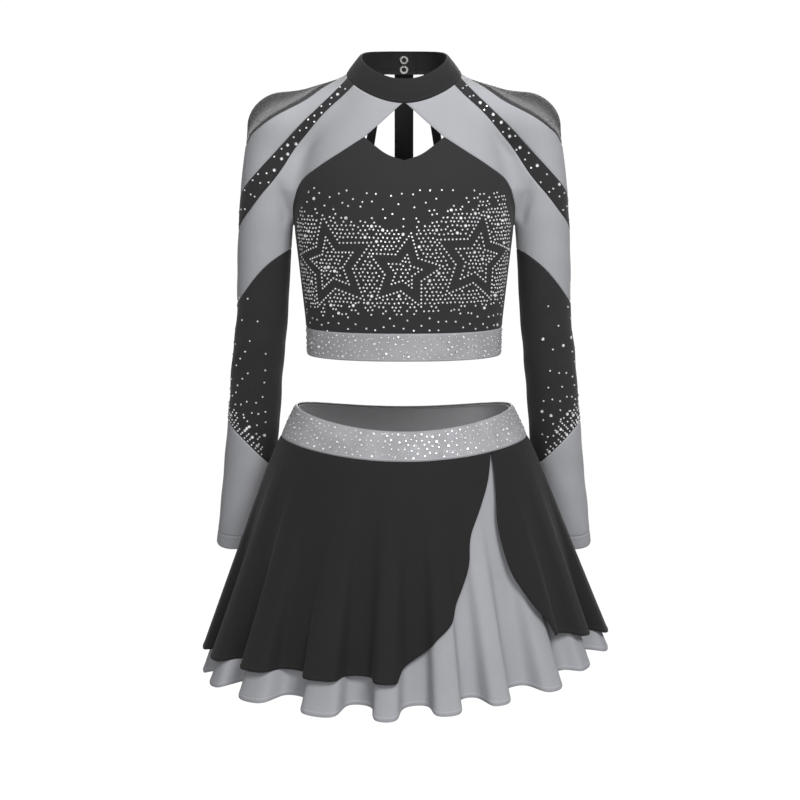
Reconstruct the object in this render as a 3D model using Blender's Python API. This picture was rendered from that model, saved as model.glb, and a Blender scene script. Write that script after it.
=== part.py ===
"""Cheer uniform: a long-sleeved crop top with a snap-closed mock neck, and a two-layer circle skirt.

All sizes below are millimetres, and every mesh is scaled to metres when it is made. +Z is up, the
front of the garments faces -Y and the wearer's left is +X. The origin is at the base of the neck.
"""

import math

import bpy
import numpy as np

MM = 0.001

# Cloth and the gaps between pieces
FABRIC = 1.6  # thickness of a panel with its seam allowance
LINING = 0.8
ELASTIC = 1.0
EDGE_GAP = 0.4  # each panel stops this far short of its seam line
YOKE_GAP = 0.7  # the same at the seams between the bodice and the raglan panels
STRAP_GAP = 0.8
LAYER_GAP = 0.6

# Torso: height, half width, depth in front of the middle, depth behind it
TORSO = np.array([
    (40, 50, 40, 46), (12, 64, 50, 59), (-20, 84, 60, 72), (-60, 112, 73, 82), (-110, 128, 86, 89),
    (-160, 131, 92, 88), (-220, 124, 90, 82), (-286, 116.5, 84, 79), (-330, 116, 82, 79),
], float)
TORSO_ROUNDNESS = 2.2
STRETCH = 16.0  # tables of heights are averaged this far up and down
NECK_BLEND = 12.0
UNDERARM_BLEND, SHOULDER_BLEND = 1.0, 26.0
BLEND_HEIGHTS = (-172.0, -122.0)  # between these the sleeve blends into the torso more and more
UNDERARM_HEIGHT = -160.0

# Sleeve: height, distance from the middle, distance behind it, radius
SLEEVE = np.array([
    (-50, 151, 0, 33), (-80, 155, 2, 34), (-115, 159, 5, 34.5), (-172, 165.5, 13, 32.5),
    (-270, 170.5, 33, 31), (-345, 178.5, 48, 31.5), (-425, 185.5, 66, 32), (-475, 191.5, 79, 31),
    (-566, 205.5, 102, 28), (-590, 209.5, 108, 27.5),
], float)
CLAVICLE = ((58, 4, -30, 42), (136, 0, -42, 31))  # x, y, z and radius of its two ends

# Neckband
COLLAR_BASE = (65.0, 60.0)  # half width, half depth
COLLAR_TOP = (51.5, 54.0)
COLLAR_BASE_HEIGHT = (12.0, 31.5)  # at the back, and how far it dips at the front
COLLAR_TOP_HEIGHT = (39.5, 31.0)
FLAP_ROOT_TURN = 125.0  # degrees round from the centre front
LAP_HALF_WIDTH = 13.0
LAP_STEP = 4.0  # how far the underlap lies inside the flap
LAP_STEP_TURN = 4.0  # degrees over which the band steps in to it
ROOT_GAP_TURN = 0.8
NECKBAND_COLUMNS = (38, 6)  # points round the band, and round its underlap
FLAP_COLUMNS = 11
SNAP_HEIGHTS = {"upper": 30.0, "lower": 18.5}
SNAP_RADIUS = 5.0
RING_BORE = 2.75  # hole through a snap's outer rings
SOCKET_RADII = (2.5, 4.6)
STUD_RADIUS = 2.0
SNAP_GAP = 0.35  # between a snap and the cloth it is fixed to
RING_HEIGHT = 0.7
SOCKET_HEIGHT = 1.1
SNAP_SIDES = 16

# Keyhole, back opening and straps
KEYHOLE_CORNER = (46.5, -67, -58)
KEYHOLE_SIDE = (24, -68, -37)
KEYHOLE_LOW = (22, -78, -76)
KEYHOLE_POINT = (0, -80, -84.5)
KEYHOLE_TURN = 2.0  # where its sides meet the neckband, degrees from the front
OPENING_CORNER = (60, 80, -58)
OPENING_SIDE = [(56, 76, -34), (48, 62, -6)]
OPENING_TURN = 141.0
OPENING_HALF_WIDTH = 60.0
OPENING_DEPTH = 68.0
CENTRE_STRAP_HALF_WIDTH = 11.5
SIDE_STRAP_AT_COLLAR = (24.0, 34.0)
SIDE_STRAP_AT_OPENING = (42.0, 52.0)
STRAP_BOW = 8.0  # how far the middle of a strap stands off the line between its ends
BACK_DEPTH = 85.0  # about where the cloth of the upper back lies

# Seam lines on the wearer's left front, as points on or near the cloth
UNDERARM = (132, 5, UNDERARM_HEIGHT)
SIDE_SEAM_MIDDLE = (126, 2, -222)
BODICE_SEAM = [(73, -63, -75), (102, -49.5, -94.5), (120, -34, -109), (129.5, -22.5, -133)]
BACK_BODICE_SEAM = [(78, 78, -72), (97, 70, -90), (111, 54, -108), (122, 30, -133)]
INSET_SEAM = [(79, -5, 6), (128.5, -30, -23.5), (181, -15, -61), (188, -2, -69)]
STRIPE_TOP_SEAM = [(104, -33, -28), (144, -34, -70), (171, -28, -98), (187, -13, -117), (194, 6, -131)]
STRIPE_LOW_SEAM = [(90, -35, -28), (122, -29, -67), (148, -30, -104), (177, -21, -139)]
STRIPE_TOP_TURN = 77.0  # where the two stripe seams meet the neckband, degrees from the front
STRIPE_LOW_TURN = 60.0

STRIPE_BACK_SHIFT = 8.0  # the back line of a stripe seam is the front one turned round, this far behind
SEAM_STEPS = 13  # faces along each long seam of the yoke
PATCH_ROUNDS = 60  # passes that even out the cells of a panel

# Sleeve joint and sleeve seams
SHOULDER_PIVOT = (152.0, 5.0, -115.0)
SLEEVE_SPLIT_RADIUS = 76.0
SPLIT_ROUNDS = 6  # passes that settle the split's height
UPPER_SEAM = (-217.0, -33.0, -10.0)  # height = first + second * c + third * c * c, c = cosine
LOWER_SEAM = (-438.0, 30.0, 0.0)
CUFF_SEAM = (-549.0, -2.0, 0.0)
CUFF_END = (-566.0, -2.0, 0.0)
CUFF_LEAN = 7.0

# Bands
HEM_TOP, HEM_BOTTOM = -285.5, -318.5
WAIST_TOP = (130.0, 95.0)  # half width, half depth
WAIST_BOTTOM = (147.5, 107.0)
WAIST_TOP_HEIGHT = (-388.5, 8.5)  # mean, and how far the sides rise above it
WAIST_BOTTOM_HEIGHT = (-426.0, 8.0)
WAIST_SAG = 3.0

# Skirt
OVERSKIRT_HEM = (234.0, 172.0)  # half width and half depth at the middle of a fold
UNDERSKIRT_HEM = (239.0, 177.0)
OVERSKIRT_HEM_HEIGHT = (-675.5, 1.5)  # mean, and how far the sides rise above it
UNDERSKIRT_HEM_HEIGHT = (-709.0, 8.0)
# Degrees from the centre front, and how far the hem is lifted there
WRAP_RISE = [(40, 40), (49, 40), (61, 31), (90, 19), (130, 8), (180, 0)]
UNDERSKIRT_RISE = [(0, 0), (27, 10), (49, 14), (90, 32), (130, 15), (180, 0)]
NO_RISE = [(0, 0), (180, 0)]
BELL = 0.86  # below 1 the skirt flares fast at the waist and then falls straighter
FOLD_DEPTH = 10.0
SKIRT_FABRIC = 1.4
UNDERSKIRT_INSET = 6.0
FOLD_CRESTS = [-180, -160, -141, -122, -103, -85, -67, -48, -23, -5, 12.5, 27, 46, 64, 84, 103, 122, 141,
               160, 180]  # degrees round from the centre front
FIRST_DROP = 0.004  # the skirt hangs from just under the waistband
PETAL_DROPS = (FIRST_DROP, 0.2, 0.4, 0.56, 0.7, 0.82, 0.91, 1.0)  # rows of faces, from waist to hem
FRONT_DROPS = (FIRST_DROP, 0.33, 0.67, 1.0)
BACK_DROPS = (FIRST_DROP, 0.5, 1.0)
PETAL_FRONT = [(43.2, 0), (36, 0.15), (25.5, 0.34), (22.5, 0.5), (16, 0.7), (9, 0.83), (3, 0.92), (-2, 1)]
PETAL_SIDE = [(43.8, 0), (39.5, 0.2), (36.5, 0.39), (37.5, 0.63), (41.5, 0.79), (46, 0.905), (47.5, 1)]

COLOURS = {  # base colour, roughness, metallic
    "black_knit": ((0.033, 0.033, 0.036), 0.82, 0.0),
    "grey_knit": ((0.42, 0.43, 0.46), 0.75, 0.0),
    "glitter_knit": ((0.38, 0.38, 0.40), 0.5, 0.0),
    "lining_knit": ((0.14, 0.14, 0.15), 0.85, 0.0),
    "mesh_net": ((0.05, 0.05, 0.055), 0.8, 0.0),
    "elastic_web": ((0.6, 0.6, 0.58), 0.9, 0.0),
    "snap_metal": ((0.75, 0.75, 0.74), 0.25, 1.0),
}


# ---------------------------------------------------------------- the shape that the cloth lies on

def table_at(table, heights):
    """Columns of a table of heights, averaged over a short stretch so that the rows leave no crease."""
    rows = table[::-1]
    offsets = np.linspace(-STRETCH, STRETCH, 9)
    at = np.asarray(heights, float)[..., None] + offsets
    return [np.interp(at, rows[:, 0], rows[:, k]).mean(-1) for k in range(1, table.shape[1])]


def torso_distance(p):
    half_width, front, back = table_at(TORSO, p[..., 2])
    depth = np.where(p[..., 1] < 0, front, back)
    k = TORSO_ROUNDNESS
    level = (np.abs(p[..., 0] / half_width) ** k + np.abs(p[..., 1] / depth) ** k) ** (1 / k)
    return (level - 1) * np.minimum(half_width, depth)


def clavicle_distance(p):
    (start, end) = np.array(CLAVICLE, float)
    q = np.stack([np.abs(p[..., 0]), p[..., 1], p[..., 2]], -1)
    along = end[:3] - start[:3]
    t = np.clip(((q - start[:3]) @ along) / (along @ along), 0, 1)
    centre = start[:3] + t[..., None] * along
    return np.linalg.norm(q - centre, axis=-1) - (start[3] + t * (end[3] - start[3]))


def sleeve_distance(p):
    out, behind, radius = table_at(SLEEVE, np.minimum(p[..., 2], SLEEVE[0, 0]))
    above = np.maximum(p[..., 2] - SLEEVE[0, 0], 0)
    offset = np.stack([np.abs(p[..., 0]) - out, p[..., 1] - behind, above], -1)
    return np.linalg.norm(offset, axis=-1) - radius


def smooth_min(a, b, k):
    h = np.maximum(k - np.abs(a - b), 0) / k
    return np.minimum(a, b) - h * h * k / 4


def form_distance(p):
    """Signed distance, roughly, from the surface that the top's cloth lies on."""
    body = smooth_min(torso_distance(p), clavicle_distance(p), NECK_BLEND)
    rise = np.clip((p[..., 2] - BLEND_HEIGHTS[0]) / (BLEND_HEIGHTS[1] - BLEND_HEIGHTS[0]), 0, 1)
    return smooth_min(body, sleeve_distance(p), UNDERARM_BLEND + SHOULDER_BLEND * rise)


def form_normal(p):
    steps = np.eye(3) * 0.5
    slope = np.stack([form_distance(p + s) - form_distance(p - s) for s in steps], -1)
    return slope / np.maximum(np.linalg.norm(slope, axis=-1, keepdims=True), 1e-9)


def on_form(points, steps=8):
    p = np.array(points, float)
    for _ in range(steps):
        p = p - form_distance(p)[..., None] * form_normal(p)
    return p


# ---------------------------------------------------------------- curves and patches

def along(points, count):
    """A smooth curve through the points, as count + 1 points at equal distances."""
    p = np.array(points, float)
    padded = np.vstack([2 * p[0] - p[1], p, 2 * p[-1] - p[-2]])
    t = np.linspace(0, 1, 12, endpoint=False)[:, None]
    pieces = []
    for a, b, c, d in zip(padded, padded[1:], padded[2:], padded[3:]):
        pieces.append(0.5 * (2 * b + (c - a) * t + (2 * a - 5 * b + 4 * c - d) * t ** 2
                             + (3 * b - a - 3 * c + d) * t ** 3))
    dense = np.vstack(pieces + [p[-1:]])
    run = np.r_[0, np.cumsum(np.linalg.norm(np.diff(dense, axis=0), axis=1))]
    wanted = np.linspace(0, run[-1], count + 1)
    return np.stack([np.interp(wanted, run, dense[:, k]) for k in range(p.shape[1])], -1)


def joined(*curves):
    return np.vstack([curves[0]] + [c[1:] for c in curves[1:]])


def evened(grid):
    """The grid with its inner points spread over the form, so that no cell folds over its neighbour."""
    g = grid.copy()
    for k in range(PATCH_ROUNDS):
        a, b = (g[2:, 1:-1] - g[:-2, 1:-1]) / 2, (g[1:-1, 2:] - g[1:-1, :-2]) / 2
        aa, bb, ab = ((p * q).sum(-1, keepdims=True) for p, q in ((a, a), (b, b), (a, b)))
        twist = (g[2:, 2:] - g[2:, :-2] - g[:-2, 2:] + g[:-2, :-2]) / 4
        g[1:-1, 1:-1] = (bb * (g[2:, 1:-1] + g[:-2, 1:-1]) + aa * (g[1:-1, 2:] + g[1:-1, :-2])
                         - 2 * ab * twist) / (2 * (aa + bb))
        if k % 4 == 0:
            g = on_form(g, 1)
    return on_form(g)


def patch(low, high, start, end):
    """A grid between four curves that share their corners: low and high run along it."""
    u = np.linspace(0, 1, len(low))[:, None, None]
    v = np.linspace(0, 1, len(start))[None, :, None]
    across = (1 - v) * low[:, None] + v * high[:, None]
    length = (1 - u) * start[None] + u * end[None]
    corners = ((1 - u) * (1 - v) * low[0] + u * (1 - v) * low[-1]
               + (1 - u) * v * high[0] + u * v * high[-1])
    return evened(on_form(across + length - corners))


def pulled_in(grid, low=True, high=True, start=True, end=True, gap=EDGE_GAP):
    """The grid with its chosen edges moved inwards by the gap, square to themselves."""
    g = grid.copy()

    def move(edge, inner):
        run = np.gradient(edge, axis=0)
        run = run / np.linalg.norm(run, axis=-1, keepdims=True)
        step = inner - edge
        step = step - (step * run).sum(-1, keepdims=True) * run
        return edge + step * (gap / np.linalg.norm(step, axis=-1, keepdims=True))

    if start:
        g[0] = move(grid[0], grid[1])
    if end:
        g[-1] = move(grid[-1], grid[-2])
    if low:
        g[:, 0] = move(g[:, 0], g[:, 1])
    if high:
        g[:, -1] = move(g[:, -1], g[:, -2])
    return g


def grid_normals(grid, round_closed):
    """Unit normals of a grid, pointing away from the vertical line through its middle."""
    if round_closed:
        du = np.roll(grid, -1, 0) - np.roll(grid, 1, 0)
    else:
        du = np.gradient(grid, axis=0)
    normal = np.cross(du, np.gradient(grid, axis=1))
    middle = grid.mean((0, 1)) if round_closed else np.zeros(3)
    away = (grid - middle) * np.array([1.0, 1.0, 0.0])
    normal *= np.sign((normal * away).sum())
    return normal / np.maximum(np.linalg.norm(normal, axis=-1, keepdims=True), 1e-9)


# ---------------------------------------------------------------- meshes

def material(name):
    found = bpy.data.materials.get(name)
    if found:
        return found
    colour, roughness, metallic = COLOURS[name]
    made = bpy.data.materials.new(name)
    made.use_nodes = True
    shader = made.node_tree.nodes["Principled BSDF"]
    shader.inputs["Base Color"].default_value = (*colour, 1)
    shader.inputs["Roughness"].default_value = roughness
    shader.inputs["Metallic"].default_value = metallic
    made.diffuse_color = (*colour, 1)
    return made


def signed_volume(points, faces):
    total = 0.0
    for face in faces:
        a = points[face[0]]
        for i in range(1, len(face) - 1):
            total += np.dot(a, np.cross(points[face[i]], points[face[i + 1]]))
    return total / 6


def solid(name, points, faces, colour, origin=(0, 0, 0)):
    """One closed mesh facing out, in metres, with its origin at a place given in millimetres."""
    points = np.asarray(points, float)
    if signed_volume(points, faces) < 0:
        faces = [tuple(reversed(face)) for face in faces]
    mesh = bpy.data.meshes.new(name)
    mesh.from_pydata(((points - np.array(origin)) * MM).tolist(), [], faces)
    mesh.materials.append(material(colour))
    mesh.shade_smooth()
    mesh.set_sharp_from_angle(angle=math.radians(50))
    made = bpy.data.objects.new(name, mesh)
    made.location = np.array(origin) * MM
    bpy.context.scene.collection.objects.link(made)
    return made


def split_square(points, a, b, c, d):
    """Two triangles that share the shorter diagonal, so that mirrored panels fold the same way."""
    if np.linalg.norm(points[a] - points[c]) <= np.linalg.norm(points[b] - points[d]):
        return (a, b, c), (a, c, d)
    return (a, b, d), (b, c, d)


def sheet(name, grid, thickness, colour, normal, round_closed=False, depth=0.0, origin=(0, 0, 0)):
    """A panel: the grid is its outer face less the depth, and its thickness lies on the inner side."""
    outer = grid - normal * depth
    inner = grid - normal * (depth + thickness)
    nu, nv = grid.shape[:2]
    points = np.vstack([outer.reshape(-1, 3), inner.reshape(-1, 3)])
    back = nu * nv
    turns = nu if round_closed else nu - 1
    faces = []
    for i in range(turns):
        k = (i + 1) % nu
        for j in range(nv - 1):
            for tri in split_square(points, i * nv + j, k * nv + j, k * nv + j + 1, i * nv + j + 1):
                faces += [tri, tuple(back + each for each in reversed(tri))]
        low, high = (i * nv, k * nv), (i * nv + nv - 1, k * nv + nv - 1)
        faces.append((low[1], low[0], back + low[0], back + low[1]))
        faces.append((high[0], high[1], back + high[1], back + high[0]))
    if not round_closed:
        last = (nu - 1) * nv
        for j in range(nv - 1):
            faces.append((j, j + 1, back + j + 1, back + j))
            faces.append((last + j + 1, last + j, back + last + j, back + last + j + 1))
    return solid(name, points, faces, colour, origin)


def mirrored(points, side):
    return points * np.array([side, 1.0, 1.0])


# ---------------------------------------------------------------- neckband

def front_share(turn):
    return (1 + np.cos(np.radians(turn))) / 2


def collar_point(turn, rise):
    """A point of the neckband: turn in degrees from the centre front, rise from 0 at its base to 1."""
    t = np.radians(np.asarray(turn, float))
    half = [low + (high - low) * rise for low, high in zip(COLLAR_BASE, COLLAR_TOP)]
    base = COLLAR_BASE_HEIGHT[0] - COLLAR_BASE_HEIGHT[1] * front_share(turn) ** 3
    top = COLLAR_TOP_HEIGHT[0] - COLLAR_TOP_HEIGHT[1] * front_share(turn) ** 2.7
    return np.stack([half[0] * np.sin(t), -half[1] * np.cos(t), base + (top - base) * rise], -1)


def collar_seam(start_turn, end_turn, count):
    return on_form(collar_point(np.linspace(start_turn, end_turn, count + 1), 0.0))


def band_grid(turns, inset_at_lap):
    """The neckband between the seam with the top and its own top edge."""
    base = on_form(collar_point(turns, 0.0))
    top = collar_point(turns, 1.0)
    rises = np.array([0.04, 0.5, 1.0])
    grid = base[:, None] * (1 - rises[None, :, None]) + top[:, None] * rises[None, :, None]
    away = grid * np.array([1.0, 1.0, 0.0])
    away /= np.linalg.norm(away, axis=-1, keepdims=True)
    return grid - away * inset_at_lap[:, None, None]


def lap_turn():
    """How far short of the centre back the lap ends, in degrees."""
    return math.degrees(math.asin(LAP_HALF_WIDTH / COLLAR_TOP[0]))


def add_neckband():
    lap, (body, tab) = lap_turn(), NECKBAND_COLUMNS
    around = np.linspace(FLAP_ROOT_TURN - ROOT_GAP_TURN, -180 + lap + LAP_STEP_TURN, body)
    turns = np.r_[around, np.linspace(-180 + lap, -180 - lap, tab)]
    grid = band_grid(turns, np.r_[np.zeros(body), np.full(tab, LAP_STEP)])
    sheet("neckband", grid, FABRIC, "black_knit", grid_normals(grid, False))


def flap_axis():
    """The two ends of the line that the flap folds about: its root on the outer face."""
    turn = np.array([FLAP_ROOT_TURN])
    return on_form(collar_point(turn, 0.0))[0], collar_point(turn, 1.0)[0]


def add_flap():
    lap = lap_turn()
    turns = np.linspace(FLAP_ROOT_TURN, 180 + lap, FLAP_COLUMNS)
    grid = band_grid(turns, np.zeros(FLAP_COLUMNS))
    sheet("neckband_flap", grid, FABRIC, "black_knit", grid_normals(grid, False), origin=flap_axis()[0])


def round_piece(name, centre, axis, radii, reach, origin=(0, 0, 0)):
    """A flat ring round the axis between two distances along it, or a plug where the inner radius is 0."""
    side = np.cross(axis, (0, 0, 1.0))
    side /= np.linalg.norm(side)
    up = np.cross(side, axis)
    inner, outer = radii
    near, far = reach
    profile = [(outer, near), (outer, far)] + ([(inner, far), (inner, near)] if inner else [])
    rows = len(profile)
    points, faces = [], []
    for k in range(SNAP_SIDES):
        a = 2 * math.pi * k / SNAP_SIDES
        spoke = side * math.cos(a) + up * math.sin(a)
        points += [centre + spoke * radius + axis * out for radius, out in profile]
        this, other = k * rows, (k + 1) % SNAP_SIDES * rows
        for j in range(rows if inner else 1):
            m = (j + 1) % rows
            faces.append((this + j, this + m, other + m, other + j))
    if not inner:
        ring = range(SNAP_SIDES)
        faces += [tuple(k * rows for k in ring), tuple(k * rows + 1 for k in reversed(ring))]
    solid(name, points, faces, "snap_metal", origin)


def add_snaps():
    """Two ring snaps on the lap: each has a stud and its ring on the underlap, a socket and its ring
    on the flap. Distances run outwards from the outer face of the flap."""
    back = np.array([180.0])
    base, top = on_form(collar_point(back, 0.0))[0], collar_point(back, 1.0)[0]
    lean = top - base
    axis = np.cross((1.0, 0, 0), lean)
    axis *= np.sign(axis[1]) / np.linalg.norm(axis)
    root = flap_axis()[0]
    under = -LAP_STEP - FABRIC - SNAP_GAP
    behind = -FABRIC - SNAP_GAP
    outside = SNAP_GAP + LAYER_GAP / 2
    stud = (SNAP_GAP - LAP_STEP, -FABRIC - LAYER_GAP)
    for name, height in SNAP_HEIGHTS.items():
        at = base + lean * (height - base[2]) / lean[2]
        ring = (RING_BORE, SNAP_RADIUS)
        round_piece(f"snap_{name}_stud_ring", at, axis, ring, (under - RING_HEIGHT, under))
        round_piece(f"snap_{name}_stud", at, axis, (0, STUD_RADIUS), stud)
        round_piece(f"snap_{name}_socket", at, axis, SOCKET_RADII, (behind - SOCKET_HEIGHT, behind), root)
        round_piece(f"snap_{name}_cap_ring", at, axis, ring, (outside, outside + RING_HEIGHT), root)


# ---------------------------------------------------------------- bodice and yoke

def form_sheet(name, grid, thickness, colour, **choices):
    """A panel that lies on the form, so that its edges stand square to it as its neighbours' do."""
    sheet(name, grid, thickness, colour, form_normal(grid), **choices)


def seam(points, count):
    return on_form(along(points, count))


def front_bodice_seam():
    return seam([UNDERARM, *BODICE_SEAM[::-1], KEYHOLE_CORNER], 7)


def back_bodice_seam():
    return seam([UNDERARM, *BACK_BODICE_SEAM[::-1], OPENING_CORNER], 7)


def keyhole_edge():
    return seam([KEYHOLE_CORNER, KEYHOLE_SIDE, tuple(collar_point(KEYHOLE_TURN, 0.0))], 4)


def opening_side_edge():
    return seam([OPENING_CORNER, *OPENING_SIDE, tuple(collar_point(OPENING_TURN, 0.0))], 4)


def opening_height(x):
    """Height of the lower edge of the back opening, at a distance from its middle."""
    return OPENING_CORNER[2] - OPENING_DEPTH * math.sqrt(max(1 - (x / OPENING_HALF_WIDTH) ** 2, 0))


def opening_low_edge():
    turns = np.radians(np.linspace(0, 90, 6))
    x = OPENING_HALF_WIDTH * np.cos(turns)
    return on_form(np.stack([x, np.full(6, BACK_DEPTH), [opening_height(each) for each in x]], -1))


def torso_ring(height, count, front):
    """Half of a ring round the torso, from the wearer's left side seam to the right one."""
    turns = np.radians(np.linspace(0, 180, count + 1)) * (-1 if front else 1)
    half_width, ahead, behind = table_at(TORSO, np.full(count + 1, float(height)))
    depth = ahead if front else behind
    p = np.stack([half_width * np.cos(turns), depth * np.sin(turns), np.full(count + 1, float(height))], -1)
    return on_form(p)


def side_seam(count):
    return seam([UNDERARM, SIDE_SEAM_MIDDLE, tuple(torso_ring(HEM_TOP, 2, True)[0])], count)


def bodice(name, left_top, centre_edge, front):
    """A bodice panel from side seam to side seam, under the yoke seams and the opening between them."""
    half = joined(left_top, centre_edge)
    top = joined(half, mirrored(half[::-1], -1))
    bottom = torso_ring(HEM_TOP, len(top) - 1, front)
    side = side_seam(5)
    grid = patch(top, bottom, side, mirrored(side, -1))
    form_sheet(name, pulled_in(grid, gap=YOKE_GAP), FABRIC, "black_knit")


def add_bodice():
    point = seam([KEYHOLE_CORNER, KEYHOLE_LOW, KEYHOLE_POINT], 4)
    bodice("bodice_front", front_bodice_seam(), point, True)
    bodice("bodice_back", back_bodice_seam(), opening_low_edge(), False)


def low_seam_end():
    """Where the lower stripe seam reaches the outside of the sleeve."""
    return sleeve_point(np.array([0.0]), split_height)[0]


def inset_seam(front, count):
    turn = 1 if front else -1
    return seam([(x, y * turn, z) for x, y, z in INSET_SEAM], count)


def stripe_seam(points, collar_turn, last, front, count):
    """A stripe seam from the neckband to the outside of the sleeve, over the front or the back."""
    start = collar_point(collar_turn if front else 180 - collar_turn, 0.0)
    body = [(x, y if front else STRIPE_BACK_SHIFT - y, z) for x, y, z in points]
    return seam([tuple(start), *body, tuple(last)], count)


def stripe_top_seam(front):
    return stripe_seam(STRIPE_TOP_SEAM[:-1], STRIPE_TOP_TURN, STRIPE_TOP_SEAM[-1], front, SEAM_STEPS)


def stripe_low_seam(front):
    return stripe_seam(STRIPE_LOW_SEAM, STRIPE_LOW_TURN, low_seam_end(), front, SEAM_STEPS)


def between(low, high, rows, closed):
    """A grid on the form between two lines with as many points each."""
    across = np.linspace(0, 1, rows + 1)[None, :, None]
    grid = on_form(low[:, None] * (1 - across) + high[:, None] * across)
    return pulled_in(grid, start=not closed, end=not closed)


def add_yoke(side, word):
    """The mesh inset on the shoulder, and the two stripes round it."""
    front, back = inset_seam(True, SEAM_STEPS - 1), inset_seam(False, SEAM_STEPS - 1)
    grid = patch(front, back, along([front[0], back[0]], 4), along([front[-1], back[-1]], 4))
    form_sheet(f"{word}_mesh_inset", mirrored(pulled_in(grid), side), FABRIC / 2, "mesh_net")

    inset = joined(front, on_form(along([front[-1], back[-1]], 2)), back[::-1],
                   on_form(along([back[0], front[0]], 2)))[:-1]
    top_seam = joined(stripe_top_seam(True), stripe_top_seam(False)[::-1])
    outer = joined(top_seam, collar_seam(180 - STRIPE_TOP_TURN, STRIPE_TOP_TURN, 2))[:-1]
    form_sheet(f"{word}_upper_stripe", mirrored(between(inset, outer, 3, True), side), FABRIC, "grey_knit",
               round_closed=True)
    low_seam = joined(stripe_low_seam(True), stripe_low_seam(False)[::-1])
    form_sheet(f"{word}_stone_stripe", mirrored(between(low_seam, top_seam, 2, False), side), FABRIC,
               "black_knit")


def raglan(name, side, bodice_line, centre_line, front):
    """A grey yoke panel, from the neckband down to the sleeve joint and the underarm."""
    under = np.array([180.0]) if front else np.array([-180.0])
    low_point = sleeve_point(under, split_height)[0]
    inner = joined(seam([low_point, UNDERARM], 2), bodice_line, centre_line)
    outer = stripe_low_seam(front)[::-1]
    turns = np.linspace(-180, 0, 7) if front else np.linspace(180, 0, 7)
    start = on_form(sleeve_point(turns, split_height))
    collar = (KEYHOLE_TURN, STRIPE_LOW_TURN) if front else (OPENING_TURN, 180 - STRIPE_LOW_TURN)
    end = collar_seam(*collar, 6)
    grid = patch(inner, outer, start, end)
    form_sheet(name, mirrored(pulled_in(grid, gap=YOKE_GAP), side), FABRIC, "grey_knit")


def add_raglans(side, word):
    raglan(f"{word}_raglan_front", side, front_bodice_seam(), keyhole_edge(), True)
    raglan(f"{word}_raglan_back", side, back_bodice_seam(), opening_side_edge(), False)


def strap_edge(at_collar, at_opening, count):
    """One edge of a back strap, from the neckband to the lower edge of the opening."""
    turn = 180 - math.degrees(math.asin(at_collar / COLLAR_BASE[0]))
    top = on_form(collar_point(np.array([turn]), 0.0))[0]
    bottom = np.array([at_opening, BACK_DEPTH, opening_height(at_opening) + STRAP_GAP])
    middle = (top + bottom) / 2 + np.array([0, STRAP_BOW, 0])
    return seam([tuple(top), tuple(middle), tuple(bottom)], count)


def add_straps():
    width = CENTRE_STRAP_HALF_WIDTH
    edge = strap_edge(width, width, 8)
    across = [along([a, mirrored(a, -1)], 2) for a in (edge[0], edge[-1])]
    grid = patch(edge, mirrored(edge, -1), *across)
    form_sheet("centre_back_strap", pulled_in(grid, gap=STRAP_GAP), FABRIC, "black_knit")
    for side, word in ((1, "left"), (-1, "right")):
        near = strap_edge(SIDE_STRAP_AT_COLLAR[0], SIDE_STRAP_AT_OPENING[0], 8)
        far = strap_edge(SIDE_STRAP_AT_COLLAR[1], SIDE_STRAP_AT_OPENING[1], 8)
        grid = patch(near, far, along([near[0], far[0]], 1), along([near[-1], far[-1]], 1))
        form_sheet(f"{word}_side_strap", mirrored(pulled_in(grid, gap=STRAP_GAP), side), FABRIC, "black_knit")


def hoop(top, bottom, count):
    """A closed band round the torso between two heights."""
    rings = []
    for height in (bottom, top):
        half = torso_ring(height, count, True)
        rings.append(np.vstack([half, torso_ring(height, count, False)[1:-1][::-1]]))
    return np.stack(rings, 1)


def add_hem_band():
    """The crop top's hem: the glitter band, the elastic inside it and the lining that covers that."""
    layers = (("hem_band", FABRIC, "glitter_knit", 0.0, EDGE_GAP),
              ("hem_elastic", ELASTIC, "elastic_web", FABRIC + LAYER_GAP, 4.0),
              ("hem_band_lining", LINING, "lining_knit", FABRIC + ELASTIC + 2 * LAYER_GAP, 1.0))
    for name, thickness, colour, depth, short in layers:
        form_sheet(name, hoop(HEM_TOP - short, HEM_BOTTOM + short, 20), thickness, colour,
                   round_closed=True, depth=depth)


# ---------------------------------------------------------------- sleeves

def slanted(line, turns):
    """Heights of a seam round the sleeve: turn 0 is its outer side and 180 the side by the body."""
    c = np.cos(np.radians(turns))
    return line[0] + line[1] * c + line[2] * c * c


def split_height(turns):
    """Heights of the line where the sleeve leaves the yoke, all as far from the shoulder's axis."""
    height = np.full(np.shape(turns), -178.0)
    for _ in range(SPLIT_ROUNDS):
        out, _, radius = table_at(SLEEVE, height)
        x = out + radius * np.cos(np.radians(turns)) - SHOULDER_PIVOT[0]
        height = SHOULDER_PIVOT[2] - np.sqrt(SLEEVE_SPLIT_RADIUS ** 2 - x * x)
    return height


def sleeve_point(turns, heights):
    z = heights(turns) if callable(heights) else heights
    out, behind, radius = table_at(SLEEVE, z)
    t = np.radians(turns)
    return np.stack([out + radius * np.cos(t), behind + radius * np.sin(t), z], -1)


def cuff_line(line):
    return lambda turns: slanted(line, turns) + CUFF_LEAN * np.sin(np.radians(turns))


SLEEVE_PIECES = (  # name, line above, line below, rows of faces, colour
    ("upper_sleeve", split_height, lambda turns: slanted(UPPER_SEAM, turns), 2, "grey_knit"),
    ("mid_sleeve", lambda turns: slanted(UPPER_SEAM, turns), lambda turns: slanted(LOWER_SEAM, turns), 4,
     "black_knit"),
    ("lower_sleeve", lambda turns: slanted(LOWER_SEAM, turns), cuff_line(CUFF_SEAM), 3, "grey_knit"),
    ("cuff_hem", cuff_line(CUFF_SEAM), cuff_line(CUFF_END), 1, "grey_knit"),
)


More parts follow.
